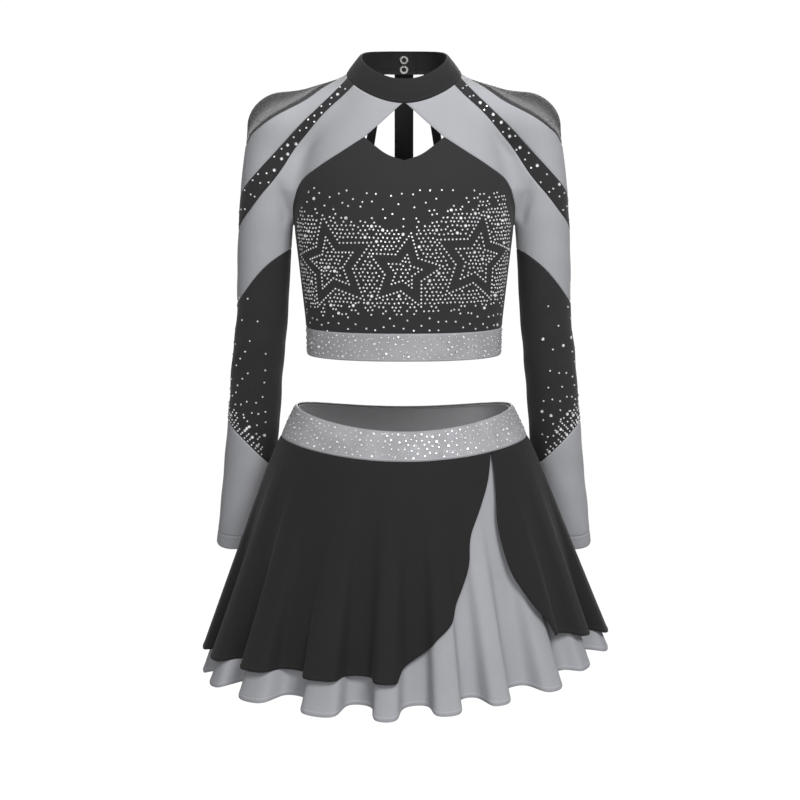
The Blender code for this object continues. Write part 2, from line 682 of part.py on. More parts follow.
def add_sleeve(side, word):
    pivot = np.array(SHOULDER_PIVOT) * (side, 1, 1)
    turns = np.arange(0, 360, 360 / 20)
    for name, above, below, rows, colour in SLEEVE_PIECES:
        share = np.linspace(0, 1, rows + 1)
        heights = [above(turns) * (1 - k) + below(turns) * k for k in share]
        grid = np.stack([sleeve_point(turns, z) for z in heights], 1)
        grid = mirrored(pulled_in(grid, start=False, end=False), side)
        sheet(f"{word}_{name}", grid, FABRIC, colour, grid_normals(grid, True), round_closed=True,
              origin=pivot)


# ---------------------------------------------------------------- skirt

def waist_point(turns, drop):
    """A point of the waistband: drop runs from 0 at its top edge to 1 at its bottom edge."""
    t = np.radians(turns)
    half = [low + (high - low) * drop for low, high in zip(WAIST_TOP, WAIST_BOTTOM)]
    mean = WAIST_TOP_HEIGHT[0] + (WAIST_BOTTOM_HEIGHT[0] - WAIST_TOP_HEIGHT[0]) * drop
    rise = WAIST_TOP_HEIGHT[1] + (WAIST_BOTTOM_HEIGHT[1] - WAIST_TOP_HEIGHT[1]) * drop
    z = mean - rise * np.cos(2 * t) + WAIST_SAG * np.cos(t) * (drop - 0.5)
    return np.stack([half[0] * np.sin(t), -half[1] * np.cos(t), z], -1)


def fold_wave(turns):
    """1 on the crest of each fold and -1 in each hollow."""
    wrapped = (np.asarray(turns) + 180) % 360 - 180
    return np.cos(2 * math.pi * np.interp(wrapped, FOLD_CRESTS, np.arange(len(FOLD_CRESTS))))


def skirt_point(turns, drop, hem, hem_height, rise, inset):
    """A point of a skirt layer: turns in degrees from the centre front, drop from the waist to the hem."""
    t = np.radians(turns)
    top = waist_point(turns, np.ones_like(t))
    flare = drop ** BELL
    swing = FOLD_DEPTH * drop ** 1.3 * fold_wave(turns)
    half = [(low + (high - low) * flare) for low, high in zip(WAIST_BOTTOM, hem)]
    bottom = hem_height[0] - hem_height[1] * np.cos(2 * t) + np.interp(turns, *np.array(rise, float).T)
    z = top[..., 2] + (bottom - top[..., 2]) * drop
    x = (half[0] + swing - inset) * np.sin(t)
    y = -(half[1] + swing - inset) * np.cos(t)
    return np.stack([x, y, z], -1)


def edge_turns(points, drops):
    """Degrees round at each drop, on a smooth line through the points (degrees, drop)."""
    line = along(points, 60)
    return np.interp(drops, line[:, 1], line[:, 0])


def skirt_panel(name, left, right, shape, colour, drops, columns):
    """A skirt panel between two edges. Each edge is a number of degrees, or a list of (degrees, drop)."""
    drops = np.array(drops)
    edges = [np.full(len(drops), float(e)) if np.isscalar(e) else edge_turns(e, drops) for e in (left, right)]
    share = np.linspace(0, 1, columns + 1)[:, None]
    turns = edges[0][None] * (1 - share) + edges[1][None] * share
    grid = pulled_in(skirt_point(turns, np.broadcast_to(drops, turns.shape), *shape), high=False)
    sheet(name, grid, SKIRT_FABRIC, colour, grid_normals(grid, False))


def add_skirt():
    bands = (("waistband", FABRIC, "glitter_knit", 0.0, 0.012),
             ("waist_elastic", ELASTIC, "elastic_web", FABRIC + LAYER_GAP, 0.09),
             ("waistband_lining", LINING, "lining_knit", FABRIC + ELASTIC + 2 * LAYER_GAP, 0.03))
    turns = np.arange(0, 360, 360 / 44)
    for name, thickness, colour, depth, short in bands:
        grid = np.stack([waist_point(turns, short), waist_point(turns, 1 - short)], 1)
        sheet(name, grid, thickness, colour, grid_normals(grid, True), round_closed=True, depth=depth)
    front = (OVERSKIRT_HEM, OVERSKIRT_HEM_HEIGHT, NO_RISE, 0.0)
    wrap = (OVERSKIRT_HEM, OVERSKIRT_HEM_HEIGHT, WRAP_RISE, 0.0)
    under = (UNDERSKIRT_HEM, UNDERSKIRT_HEM_HEIGHT, UNDERSKIRT_RISE, UNDERSKIRT_INSET)
    skirt_panel("overskirt_front", -90, PETAL_FRONT, front, "black_knit", PETAL_DROPS, 40)
    skirt_panel("overskirt_wrap", PETAL_SIDE, 90, wrap, "black_knit", PETAL_DROPS, 14)
    skirt_panel("overskirt_back", 90, 270, wrap, "black_knit", BACK_DROPS, 54)
    skirt_panel("underskirt_front", -90, 90, under, "grey_knit", FRONT_DROPS, 54)
    skirt_panel("underskirt_back", 90, 270, under, "grey_knit", BACK_DROPS, 54)


# ---------------------------------------------------------------- the whole uniform

def main():
    for obj in list(bpy.data.objects):
        bpy.data.objects.remove(obj)
    add_neckband()
    add_flap()
    add_snaps()
    add_bodice()
    add_straps()
    add_hem_band()
    for side, word in ((1, "left"), (-1, "right")):
        add_yoke(side, word)
        add_raglans(side, word)
        add_sleeve(side, word)
    add_skirt()


main()
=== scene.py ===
"""Looks of the cheer uniform: every cloth panel, fold, seam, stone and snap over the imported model.

Cloth points are worked out in millimetres and stored in metres. The front faces -Y, the wearer's left
is +X, and the origin is at the base of the neck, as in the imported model.
"""

import math

import bpy
import numpy as np
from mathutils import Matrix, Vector


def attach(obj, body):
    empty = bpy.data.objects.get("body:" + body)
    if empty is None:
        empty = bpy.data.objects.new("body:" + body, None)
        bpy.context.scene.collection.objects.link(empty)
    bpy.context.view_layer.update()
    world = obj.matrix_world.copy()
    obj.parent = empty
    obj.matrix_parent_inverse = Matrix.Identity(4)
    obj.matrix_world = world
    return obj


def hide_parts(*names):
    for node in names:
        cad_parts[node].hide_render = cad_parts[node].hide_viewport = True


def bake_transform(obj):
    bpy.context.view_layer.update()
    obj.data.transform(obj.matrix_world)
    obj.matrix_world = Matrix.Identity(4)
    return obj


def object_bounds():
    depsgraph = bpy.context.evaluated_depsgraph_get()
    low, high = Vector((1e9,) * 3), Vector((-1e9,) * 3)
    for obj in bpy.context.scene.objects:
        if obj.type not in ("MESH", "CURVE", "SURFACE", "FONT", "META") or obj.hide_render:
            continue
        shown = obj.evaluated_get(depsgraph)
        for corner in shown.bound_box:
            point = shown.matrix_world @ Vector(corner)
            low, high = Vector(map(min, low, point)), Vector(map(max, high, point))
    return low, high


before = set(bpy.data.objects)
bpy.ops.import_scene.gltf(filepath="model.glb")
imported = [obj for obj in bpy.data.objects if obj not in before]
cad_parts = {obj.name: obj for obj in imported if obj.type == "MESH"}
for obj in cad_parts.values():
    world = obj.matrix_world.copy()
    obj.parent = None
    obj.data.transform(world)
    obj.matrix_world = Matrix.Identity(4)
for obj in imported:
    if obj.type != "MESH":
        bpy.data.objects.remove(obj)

CAD_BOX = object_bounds()
MM = 0.001
SIDES = ((1, "left"), (-1, "right"))
rng = np.random.default_rng(20)


def linked(name, data):
    made = bpy.data.objects.new(name, data)
    bpy.context.scene.collection.objects.link(made)
    return made


# ---------------------------------------------------------------- camera and light

CAMERA_PLACE = (-0.0048, -3.0, 0.050)
CAMERA_TARGET = (-0.0048, 0.0, -0.375)
FIELD_WIDTH = 0.96  # metres across the picture at the target
WHITE = 1.02  # strength of the surround as the camera sees it
AMBIENT = 0.18  # how strongly the white surround lights the cloth
FLOOR_HALF, FLOOR_DROP = 6.0, 0.5
LIGHTS = (  # place, size and watts
    ("key", (0.9, -2.3, 1.35), (1.0, 1.0), 66),
    ("front", (-0.5, -3.4, 0.1), (1.0, 1.6), 29),
    ("back", (0.6, 2.6, 0.6), (1.8, 1.4), 44),
    ("top", (0.0, 0.2, 2.0), (1.4, 1.0), 12),
)


def aim(obj, place):
    obj.location = place
    obj.rotation_euler = (Vector(CAMERA_TARGET) - Vector(place)).to_track_quat("-Z", "Y").to_euler()


def add_camera():
    data = bpy.data.cameras.new("camera")
    data.sensor_width = 36.0
    data.lens = data.sensor_width * math.dist(CAMERA_PLACE, CAMERA_TARGET) / FIELD_WIDTH
    data.clip_start, data.clip_end = 0.05, 50
    made = linked("camera", data)
    aim(made, CAMERA_PLACE)
    bpy.context.scene.camera = made


def add_lights():
    for name, place_, size, power in LIGHTS:
        data = bpy.data.lights.new(name, "AREA")
        data.shape = "RECTANGLE"
        data.size, data.size_y = size
        data.energy = power
        aim(linked(name, data), place_)


def white_surround(tree, strength):
    """White to the camera and in gloss, and dimmer where it lights the object."""
    path = tree.nodes.new("ShaderNodeLightPath")
    either = tree.nodes.new("ShaderNodeMath")
    either.operation = "MAXIMUM"
    tree.links.new(path.outputs["Is Camera Ray"], either.inputs[0])
    tree.links.new(path.outputs["Is Glossy Ray"], either.inputs[1])
    shade = tree.nodes.new("ShaderNodeMapRange")
    shade.inputs["To Min"].default_value = AMBIENT
    shade.inputs["To Max"].default_value = WHITE
    tree.links.new(either.outputs[0], shade.inputs["Value"])
    tree.links.new(shade.outputs["Result"], strength)


def add_surround():
    world = bpy.data.worlds.new("studio")
    world.use_nodes = True
    background = world.node_tree.nodes["Background"]
    background.inputs["Color"].default_value = (1, 1, 1, 1)
    white_surround(world.node_tree, background.inputs["Strength"])
    bpy.context.scene.world = world
    bpy.context.scene.view_settings.view_transform = "Standard"

    mesh = bpy.data.meshes.new("floor")
    low = CAD_BOX[0][2] - FLOOR_DROP
    corners = [(x * FLOOR_HALF, y * FLOOR_HALF, low) for x, y in ((-1, -1), (1, -1), (1, 1), (-1, 1))]
    mesh.from_pydata(corners, [], [(0, 1, 2, 3)])
    paint = bpy.data.materials.new("floor_white")
    paint.use_nodes = True
    tree = paint.node_tree
    tree.nodes.clear()
    glow = tree.nodes.new("ShaderNodeEmission")
    out = tree.nodes.new("ShaderNodeOutputMaterial")
    tree.links.new(glow.outputs[0], out.inputs["Surface"])
    white_surround(tree, glow.inputs["Strength"])
    mesh.materials.append(paint)
    linked("floor", mesh)


# ---------------------------------------------------------------- sizes, as in the model

# Torso: height, half width, depth in front of the middle, depth behind it
TORSO = np.array([
    (40, 50, 40, 46), (12, 64, 50, 59), (-20, 84, 60, 72), (-60, 112, 73, 82), (-110, 128, 86, 89),
    (-160, 131, 92, 88), (-220, 124, 90, 82), (-286, 116.5, 84, 79), (-330, 116, 82, 79),
], float)
# Sleeve: height, distance from the middle, distance behind it, radius
SLEEVE = np.array([
    (-50, 151, 0, 33), (-80, 155, 2, 34), (-115, 159, 5, 34.5), (-172, 165.5, 13, 32.5),
    (-270, 170.5, 33, 31), (-345, 178.5, 48, 31.5), (-425, 185.5, 66, 32), (-475, 191.5, 79, 31),
    (-566, 205.5, 102, 28), (-590, 209.5, 108, 27.5),
], float)
STRETCH = 16.0  # tables of heights are averaged this far up and down
CLAVICLE = ((58, 4, -30, 42), (136, 0, -42, 31))  # x, y, z and radius of its two ends
TORSO_ROUNDNESS = 2.2
NECK_BLEND = 12.0
UNDERARM_BLEND, SHOULDER_BLEND = 1.0, 26.0
BLEND_HEIGHTS = (-172.0, -122.0)  # between these the sleeve blends into the torso more and more
COLLAR_BASE, COLLAR_TOP = (65.0, 60.0), (51.5, 54.0)  # half width, half depth
COLLAR_BASE_HEIGHT, COLLAR_TOP_HEIGHT = (12.0, 31.5), (39.5, 31.0)  # at the back, and the dip in front
FLAP_ROOT_TURN = 125.0  # degrees round from the centre front
LAP_HALF_WIDTH, LAP_STEP, LAP_STEP_TURN = 13.0, 4.0, 4.0
KEYHOLE_CORNER, KEYHOLE_SIDE = (46.5, -67, -58), (24, -68, -37)
KEYHOLE_LOW, KEYHOLE_POINT = (22, -78, -76), (0, -80, -84.5)
KEYHOLE_TURN, OPENING_TURN = 2.0, 141.0  # where the openings meet the neckband, degrees from the front
OPENING_CORNER, OPENING_SIDE = (60, 80, -58), [(56, 76, -34), (48, 62, -6)]
OPENING_HALF_WIDTH, OPENING_DEPTH = 60.0, 68.0
CENTRE_STRAP_HALF_WIDTH = 11.5
SIDE_STRAP_AT_COLLAR, SIDE_STRAP_AT_OPENING = (24.0, 34.0), (42.0, 52.0)
STRAP_BOW = 8.0  # how far the middle of a strap stands off the line between its ends
BACK_DEPTH = 85.0  # about where the cloth of the upper back lies
UNDERARM, SIDE_SEAM_MIDDLE = (132, 5, -160.0), (126, 2, -222)
BODICE_SEAM = [(73, -63, -75), (102, -49.5, -94.5), (120, -34, -109), (129.5, -22.5, -133)]
BACK_BODICE_SEAM = [(78, 78, -72), (97, 70, -90), (111, 54, -108), (122, 30, -133)]
INSET_SEAM = [(79, -5, 6), (128.5, -30, -23.5), (181, -15, -61), (188, -2, -69)]
STRIPE_TOP_SEAM = [(104, -33, -28), (144, -34, -70), (171, -28, -98), (187, -13, -117), (194, 6, -131)]
STRIPE_LOW_SEAM = [(90, -35, -28), (122, -29, -67), (148, -30, -104), (177, -21, -139)]
STRIPE_TOP_TURN, STRIPE_LOW_TURN = 77.0, 60.0  # where they meet the neckband, degrees from the front
STRIPE_BACK_SHIFT = 8.0  # the back line of a stripe seam is the front one turned round, this far behind
SHOULDER_PIVOT = (152.0, 5.0, -115.0)
SLEEVE_SPLIT_RADIUS, SPLIT_START, SPLIT_ROUNDS = 76.0, -178.0, 6
# Sleeve seams: height = first + second * c + third * c * c, where c is the cosine of the turn
UPPER_SEAM, LOWER_SEAM = (-217.0, -33.0, -10.0), (-438.0, 30.0, 0.0)
CUFF_SEAM, CUFF_END, CUFF_LEAN = (-549.0, -2.0, 0.0), (-566.0, -2.0, 0.0), 7.0
HEM_TOP, HEM_BOTTOM = -285.5, -318.5
WAIST_TOP, WAIST_BOTTOM = (130.0, 95.0), (147.5, 107.0)
WAIST_TOP_HEIGHT, WAIST_BOTTOM_HEIGHT = (-388.5, 8.5), (-426.0, 8.0)  # mean, and the rise at the sides
WAIST_SAG = 3.0
OVERSKIRT_HEM, UNDERSKIRT_HEM = (234.0, 172.0), (239.0, 177.0)
OVERSKIRT_HEM_HEIGHT, UNDERSKIRT_HEM_HEIGHT = (-675.5, 1.5), (-709.0, 8.0)
# Degrees from the centre front, and how far the hem is lifted there
WRAP_RISE = [(40, 40), (49, 40), (61, 31), (90, 19), (130, 8), (180, 0)]
UNDERSKIRT_RISE = [(0, 0), (27, 10), (49, 14), (90, 32), (130, 15), (180, 0)]
NO_RISE = [(0, 0), (180, 0)]
BELL, UNDERSKIRT_INSET = 0.86, 6.0
FOLD_CRESTS = [-180, -160, -141, -122, -103, -85, -67, -48, -23, -5, 12.5, 27, 46, 64, 84, 103, 122, 141,
               160, 180]  # degrees round from the centre front
# Degrees from the centre front along each edge of the petal, and the share of the way down
PETAL_FRONT = [(43.2, 0), (36, 0.15), (25.5, 0.34), (22.5, 0.5), (16, 0.7), (9, 0.83), (3, 0.92), (-2, 1)]
PETAL_SIDE = [(43.8, 0), (39.5, 0.2), (36.5, 0.39), (37.5, 0.63), (41.5, 0.79), (46, 0.905), (47.5, 1)]

# ---------------------------------------------------------------- sizes of the finer cloth

FINE = 5  # faces here for each face of the model along a seam
PATCH_ROUNDS, FORM_EVERY = 240, 5  # passes that even out a large panel, and how often it returns to the form
CLOTH, STRAP_CLOTH, COLLAR_CLOTH, NET_CLOTH, SKIRT_CLOTH = 1.2, 1.4, 1.6, 0.35, 1.0  # thicknesses
DIP, DIP_WIDTH = 0.75, 2.3  # how far a panel's edge sinks into its seam, and from how far away
BAND_DIP, BAND_BULGE = 0.8, 0.9
# Paint, thickness and depth under the surface of the layers of a band, from the outside in
BAND_LAYERS = (("glitter_knit", 1.5, 0.0), ("elastic_web", 1.0, 2.2), ("lining_knit", 0.8, 3.8))
SKIRT_DIP = 0.6
EDGE_ROWS = (0.45, 1.1, 2.0)  # added rows, in millimetres from an edge
NO_EDGE, NO_HEM = 99.0, 1000.0  # stand for the distance from an edge or a hem that isn't there
SMOOTH_ANGLE = 58  # degrees; sharper edges between faces stay sharp
SLEEVE_BEND = ((130.3, 0.0, -159.0), (181.5, 0.0, -188.5))  # the two points given as the bend of a piece that reaches into a sleeve; nothing turns the cloth between them
FLAP_BEND_TURN = 9.0  # degrees of neckband between the two points given as the flap's bend


# ---------------------------------------------------------------- the shape that the cloth lies on

def averaged(table):
    """The table at every millimetre of height, averaged so that its rows leave no crease."""
    rows = table[::-1]
    heights = np.arange(-640.0, 80.0, 1.0)
    at = heights[:, None] + np.linspace(-STRETCH, STRETCH, 9)
    return heights, [np.interp(at, rows[:, 0], rows[:, k]).mean(-1) for k in range(1, table.shape[1])]


TORSO_FINE, SLEEVE_FINE = averaged(TORSO), averaged(SLEEVE)


def table_at(table, heights):
    return [np.interp(heights, table[0], column) for column in table[1]]


def length(v):
    return np.linalg.norm(v, axis=-1)


def unit(v):
    return v / np.maximum(np.linalg.norm(v, axis=-1, keepdims=True), 1e-9)


def torso_distance(p):
    half_width, front, back = table_at(TORSO_FINE, p[..., 2])
    depth = np.where(p[..., 1] < 0, front, back)
    k = TORSO_ROUNDNESS
    level = (np.abs(p[..., 0] / half_width) ** k + np.abs(p[..., 1] / depth) ** k) ** (1 / k)
    return (level - 1) * np.minimum(half_width, depth)


def clavicle_distance(p):
    start, end = np.array(CLAVICLE, float)
    q = np.stack([np.abs(p[..., 0]), p[..., 1], p[..., 2]], -1)
    line = end[:3] - start[:3]
    t = np.clip(((q - start[:3]) * line).sum(-1) / (line @ line), 0, 1)
    centre = start[:3] + t[..., None] * line
    return length(q - centre) - (start[3] + t * (end[3] - start[3]))


def sleeve_distance(p):
    out, behind, radius = table_at(SLEEVE_FINE, np.minimum(p[..., 2], SLEEVE[0, 0]))
    above = np.maximum(p[..., 2] - SLEEVE[0, 0], 0)
    offset = np.stack([np.abs(p[..., 0]) - out, p[..., 1] - behind, above], -1)
    return length(offset) - radius


def smooth_min(a, b, k):
    h = np.maximum(k - np.abs(a - b), 0) / k
    return np.minimum(a, b) - h * h * k / 4


def form_distance(p):
    """Signed distance, roughly, from the surface that the top's cloth lies on."""
    body = smooth_min(torso_distance(p), clavicle_distance(p), NECK_BLEND)
    rise = np.clip((p[..., 2] - BLEND_HEIGHTS[0]) / (BLEND_HEIGHTS[1] - BLEND_HEIGHTS[0]), 0, 1)
    return smooth_min(body, sleeve_distance(p), UNDERARM_BLEND + SHOULDER_BLEND * rise)


def form_normal(p):
    steps = np.eye(3) * 0.5
    return unit(np.stack([form_distance(p + s) - form_distance(p - s) for s in steps], -1))


def on_form(points, steps=7):
    p = np.array(points, float)
    for _ in range(steps):
        p = p - form_distance(p)[..., None] * form_normal(p)
    return p


# ---------------------------------------------------------------- curves and grids

def share_along(p, a, b):
    """How far each point lies along the line from a to b, as a share of that line."""
    return np.clip(((p - a) @ (b - a)) / ((b - a) @ (b - a)), 0, 1)


def smooth(x):
    t = np.clip(x, 0, 1)
    return t * t * (3 - 2 * t)


def run_along(line):
    """Distance of each point of a line from its start."""
    return np.r_[0, np.cumsum(length(np.diff(line, axis=0)))]


def along(points, count):
    """A smooth curve through the points, as count + 1 points at equal distances."""
    p = np.array(points, float)
    ends = np.vstack([2 * p[0] - p[1], p, 2 * p[-1] - p[-2]])
    t = np.linspace(0, 1, 16, endpoint=False)[:, None]
    pieces = []
    for a, b, c, d in zip(ends, ends[1:], ends[2:], ends[3:]):
        pieces.append(0.5 * (2 * b + (c - a) * t + (2 * a - 5 * b + 4 * c - d) * t ** 2
                             + (3 * b - a - 3 * c + d) * t ** 3))
    dense = np.vstack(pieces + [p[-1:]])
    run = run_along(dense)
    wanted = np.linspace(0, run[-1], count + 1)
    return np.stack([np.interp(wanted, run, dense[:, k]) for k in range(p.shape[1])], -1)


def joined(*curves):
    return np.vstack([curves[0]] + [c[1:] for c in curves[1:]])


def seam(points, count):
    return on_form(along(points, count))


def evened(grid, rounds):
    """The grid with its inner points spread over the form, so that no cell folds over its neighbour."""
    g = grid.copy()
    for k in range(rounds):
        a, b = (g[2:, 1:-1] - g[:-2, 1:-1]) / 2, (g[1:-1, 2:] - g[1:-1, :-2]) / 2
        aa, bb, ab = ((p * q).sum(-1, keepdims=True) for p, q in ((a, a), (b, b), (a, b)))
        twist = (g[2:, 2:] - g[2:, :-2] - g[:-2, 2:] + g[:-2, :-2]) / 4
        g[1:-1, 1:-1] = (bb * (g[2:, 1:-1] + g[:-2, 1:-1]) + aa * (g[1:-1, 2:] + g[1:-1, :-2])
                         - 2 * ab * twist) / (2 * (aa + bb))
        if k % FORM_EVERY == 0:
            g = on_form(g, 1)
    return on_form(g)


def patch(low, high, start, end, rounds=0):
    """A grid between four curves that share their corners: low and high run along it."""
    u = np.linspace(0, 1, len(low))[:, None, None]
    v = np.linspace(0, 1, len(start))[None, :, None]
    corners = ((1 - u) * (1 - v) * low[0] + u * (1 - v) * low[-1]
               + (1 - u) * v * high[0] + u * v * high[-1])
    grid = (1 - v) * low[:, None] + v * high[:, None] + (1 - u) * start[None] + u * end[None] - corners
    return evened(on_form(grid), rounds)


def between(low, high, rows):
    across = np.linspace(0, 1, rows + 1)[None, :, None]
    return on_form(low[:, None] * (1 - across) + high[:, None] * across)


def mirrored(points, side):
    return points * np.array([side, 1.0, 1.0])


def steps_near(count, cell, first, last):
    """Row positions in cells, with added ones near the chosen ends, and how far each is from those ends."""
    inner = [r / cell for r in EDGE_ROWS if r < 0.9 * cell]
    at = np.arange(count, dtype=float)
    extra = (inner if first else []) + ([count - 1 - r for r in inner] if last else [])
    at = np.sort(np.r_[at, extra])
    far = np.full(len(at), NO_EDGE)
    if first:
        far = np.minimum(far, at * cell)
    if last:
        far = np.minimum(far, (count - 1 - at) * cell)
    return at, far


def taken(grid, at):
    """Rows of a grid at positions between its own rows."""
    low = np.minimum(at.astype(int), len(grid) - 2)
    share = (at - low).reshape(-1, *[1] * (grid.ndim - 1))
    return grid[low] * (1 - share) + grid[low + 1] * share


def eased(grid, edges="lhse"):
    """The grid with rows added near its low, high, start or end edges, and how far each point is from
    those edges."""
    cell_u, cell_v = (length(np.diff(grid, axis=way)).mean() for way in (0, 1))
    at_u, far_u = steps_near(grid.shape[0], cell_u, "s" in edges, "e" in edges)
    at_v, far_v = steps_near(grid.shape[1], cell_v, "l" in edges, "h" in edges)
    g = taken(taken(grid, at_u).transpose(1, 0, 2), at_v).transpose(1, 0, 2)
    return g, np.minimum(far_u[:, None], far_v[None])


def sunk(far, depth=DIP):
    return (depth * (1 - smooth(far / DIP_WIDTH)) ** 1.5)[..., None]


def cloth_coordinates(grid, hem=None, start=0.0):
    """Metres along the two ways of the cloth, and how far each point is from the hem's stitched edge."""
    du, dv = (length(np.diff(grid, axis=way)) for way in (0, 1))
    u = np.vstack([np.zeros(grid.shape[1]), np.cumsum(du, 0)])
    u = u - u[len(u) // 2]
    v = np.hstack([np.zeros((grid.shape[0], 1)), np.cumsum(dv, 1)])
    w = {"low": v + start, "high": v[:, -1:] - v + start, None: np.full(v.shape, NO_HEM)}[hem]
    return np.stack([u, v, w], -1) * MM


def grid_normals(grid, wrapped=False):
    """Outward normals of a grid round the body, which may close on itself."""
    g = np.vstack([grid[-2:-1], grid, grid[1:2]]) if wrapped else grid
    normal = np.cross(np.gradient(g, axis=0), np.gradient(g, axis=1))
    if wrapped:
        normal = normal[1:-1]
    middle = grid.mean((0, 1)) if wrapped else np.zeros(3)
    away = (grid - middle) * np.array([1.0, 1.0, 0.0])
    return unit(normal * np.sign((normal * away).sum()))


# ---------------------------------------------------------------- folds that the smooth form lacks

WAVES = [(rng.normal(size=3) / (18 + 9 * k), rng.uniform(0, 6.28), 1.0 / (1 + 0.25 * k)) for k in range(7)]
WAVE_HEIGHT = 0.26
ELBOW_HEIGHT, ELBOW_REACH = -320, 50  # the sleeve creases more near here
CREASE = np.array([(151.0, -104.0), (137.0, -157.0)])  # from the stripe down to the underarm, in x and z
CREASE_DEPTH, CREASE_WIDTH = 4.0, 6.5


def ripple(p):
    """How far the cloth stands off the form: soft drag folds on the sleeves, and a crease at the underarm."""
    x, z = np.abs(p[..., 0]), p[..., 2]
    wave = sum(a * np.sin((p * k).sum(-1) * 2.0 + f) for k, f, a in WAVES)
    on_sleeve = smooth((x - 128) / 22) * smooth((-95 - z) / 60)
    elbow = 1 + 0.8 * np.exp(-((z - ELBOW_HEIGHT) / ELBOW_REACH) ** 2)
    a, b = CREASE
    flat = np.stack([x, z], -1)
    t = share_along(flat, a, b)
    off = length(flat - (a + t[..., None] * (b - a)))
    ends = smooth(t * 1.6 + 0.1) * smooth((np.abs(p[..., 1]) - 2) / 14)
    return wave * on_sleeve * elbow * WAVE_HEIGHT - CREASE_DEPTH * np.exp(-(off / CREASE_WIDTH) ** 2) * ends


def dressed(p, normal):
    return p + normal * ripple(p)[..., None]


# ---------------------------------------------------------------- meshes

def new_object(name, points, faces, paint):
    """A mesh object from millimetre points and an array of faces with the same number of corners each."""
    faces = np.asarray(faces, np.int32)
    mesh = bpy.data.meshes.new(name)
    mesh.vertices.add(len(points))
    mesh.vertices.foreach_set("co", (np.asarray(points, np.float64) * MM).astype(np.float32).ravel())
    corners = faces.shape[1]
    mesh.loops.add(faces.size)
    mesh.loops.foreach_set("vertex_index", faces.ravel())
    mesh.polygons.add(len(faces))
    mesh.polygons.foreach_set("loop_start", np.arange(0, faces.size, corners, dtype=np.int32))
    mesh.update(calc_edges=True)
    mesh.materials.append(PAINT[paint])
    return linked(name, mesh)


def quads_of(grid, normal, base):
    """The cells of a grid as faces that turn with the normals, numbered from base."""
    nu, nv = grid.shape[:2]
    i, j = np.meshgrid(np.arange(nu - 1), np.arange(nv - 1), indexing="ij")
    a = i * nv + j
    quads = np.stack([a, a + nv, a + nv + 1, a + 1], -1).reshape(-1, 4)
    p, n = grid.reshape(-1, 3), normal.reshape(-1, 3)
    facing = np.cross(p[quads[:, 2]] - p[quads[:, 0]], p[quads[:, 3]] - p[quads[:, 1]])
    if (facing * n[quads[:, 0]]).sum() < 0:
        quads = quads[:, ::-1]
    return quads + base


def cloth(name, parts, paint, thickness):
    """One cloth piece from grids of outer points, normals and cloth coordinates. Edges that meet are welded,
    and the piece is closed by its inner face and its rims."""
    quads, base = [], 0
    for grid, normal, _ in parts:
        quads.append(quads_of(grid, normal, base))
        base += grid.shape[0] * grid.shape[1]
    points, normals, coords = (np.vstack([part[k].reshape(-1, 3) for part in parts]) for k in range(3))
    quads = np.vstack(quads)
    _, first, index = np.unique(np.round(points / 0.02).astype(np.int64), axis=0, return_index=True,
                                return_inverse=True)
    index = index.reshape(-1)
    points, normals = points[first], normals[first]
    faces, corner = index[quads], coords[quads]
    ends = np.stack([faces, np.roll(faces, -1, 1)], -1).reshape(-1, 2)
    corner_ends = np.stack([corner, np.roll(corner, -1, 1)], 2).reshape(-1, 2, 3)
    _, which, count = np.unique(np.sort(ends, 1), axis=0, return_inverse=True, return_counts=True)
    lone = count[which.reshape(-1)] == 1
    a, b = ends[lone, 0], ends[lone, 1]
    ca, cb = corner_ends[lone, 0], corner_ends[lone, 1]
    total = len(points)
    rims = np.stack([b, a, a + total, b + total], -1)
    every = np.vstack([faces, faces[:, ::-1] + total, rims])
    coordinate = np.vstack([corner, corner[:, ::-1], np.stack([cb, ca, ca, cb], 1)])
    made = new_object(name, np.vstack([points, points - normals * thickness]), every, paint)
    layer = made.data.attributes.new("cloth", "FLOAT_VECTOR", "CORNER")
    layer.data.foreach_set("vector", coordinate.reshape(-1).astype(np.float32))
    made.data.shade_smooth()
    made.data.set_sharp_from_angle(angle=math.radians(SMOOTH_ANGLE))
    return made


def place(made, nodes, paint, body, bend=None):
    """Puts the piece on its body. With a bend, it is put on no body, and its placement is only baked into its
    mesh.
    """
    if bend is None:
        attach(made, body)
    else:
        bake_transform(made)
    if nodes:
        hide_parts(*nodes)


def sew(name, parts, paint, nodes, body, bend=None, thickness=CLOTH, flat=None):
    made = cloth(name, parts, paint, thickness)
    place(made, nodes, paint, body, bend)


def arm(side, word):
    """Body and bend of a piece that reaches from the top into a sleeve."""
    return f"{word}_sleeve", [(x * side, y, z) for x, y, z in SLEEVE_BEND]


def form_part(grid, edges="lhse", hem=None, start=0.0, depth=0.0):
    """A grid laid on the form as worn cloth, with its edges sunk into their seams."""
    g, far = eased(grid, edges)
    normal = form_normal(g)
    return dressed(g, normal) - normal * (sunk(far) + depth), normal, cloth_coordinates(g, hem, start)


# ---------------------------------------------------------------- materials

WALE, COURSE = 0.0008, 0.00062  # metres across one column and one row of knit
LINING_WALE, LINING_COURSE = 0.0024, 0.0011
STITCH, NET_PITCH, RIB, PICK = 0.0032, 0.0013, 0.0022, 0.0009


PAINT = {}  # finished materials by name


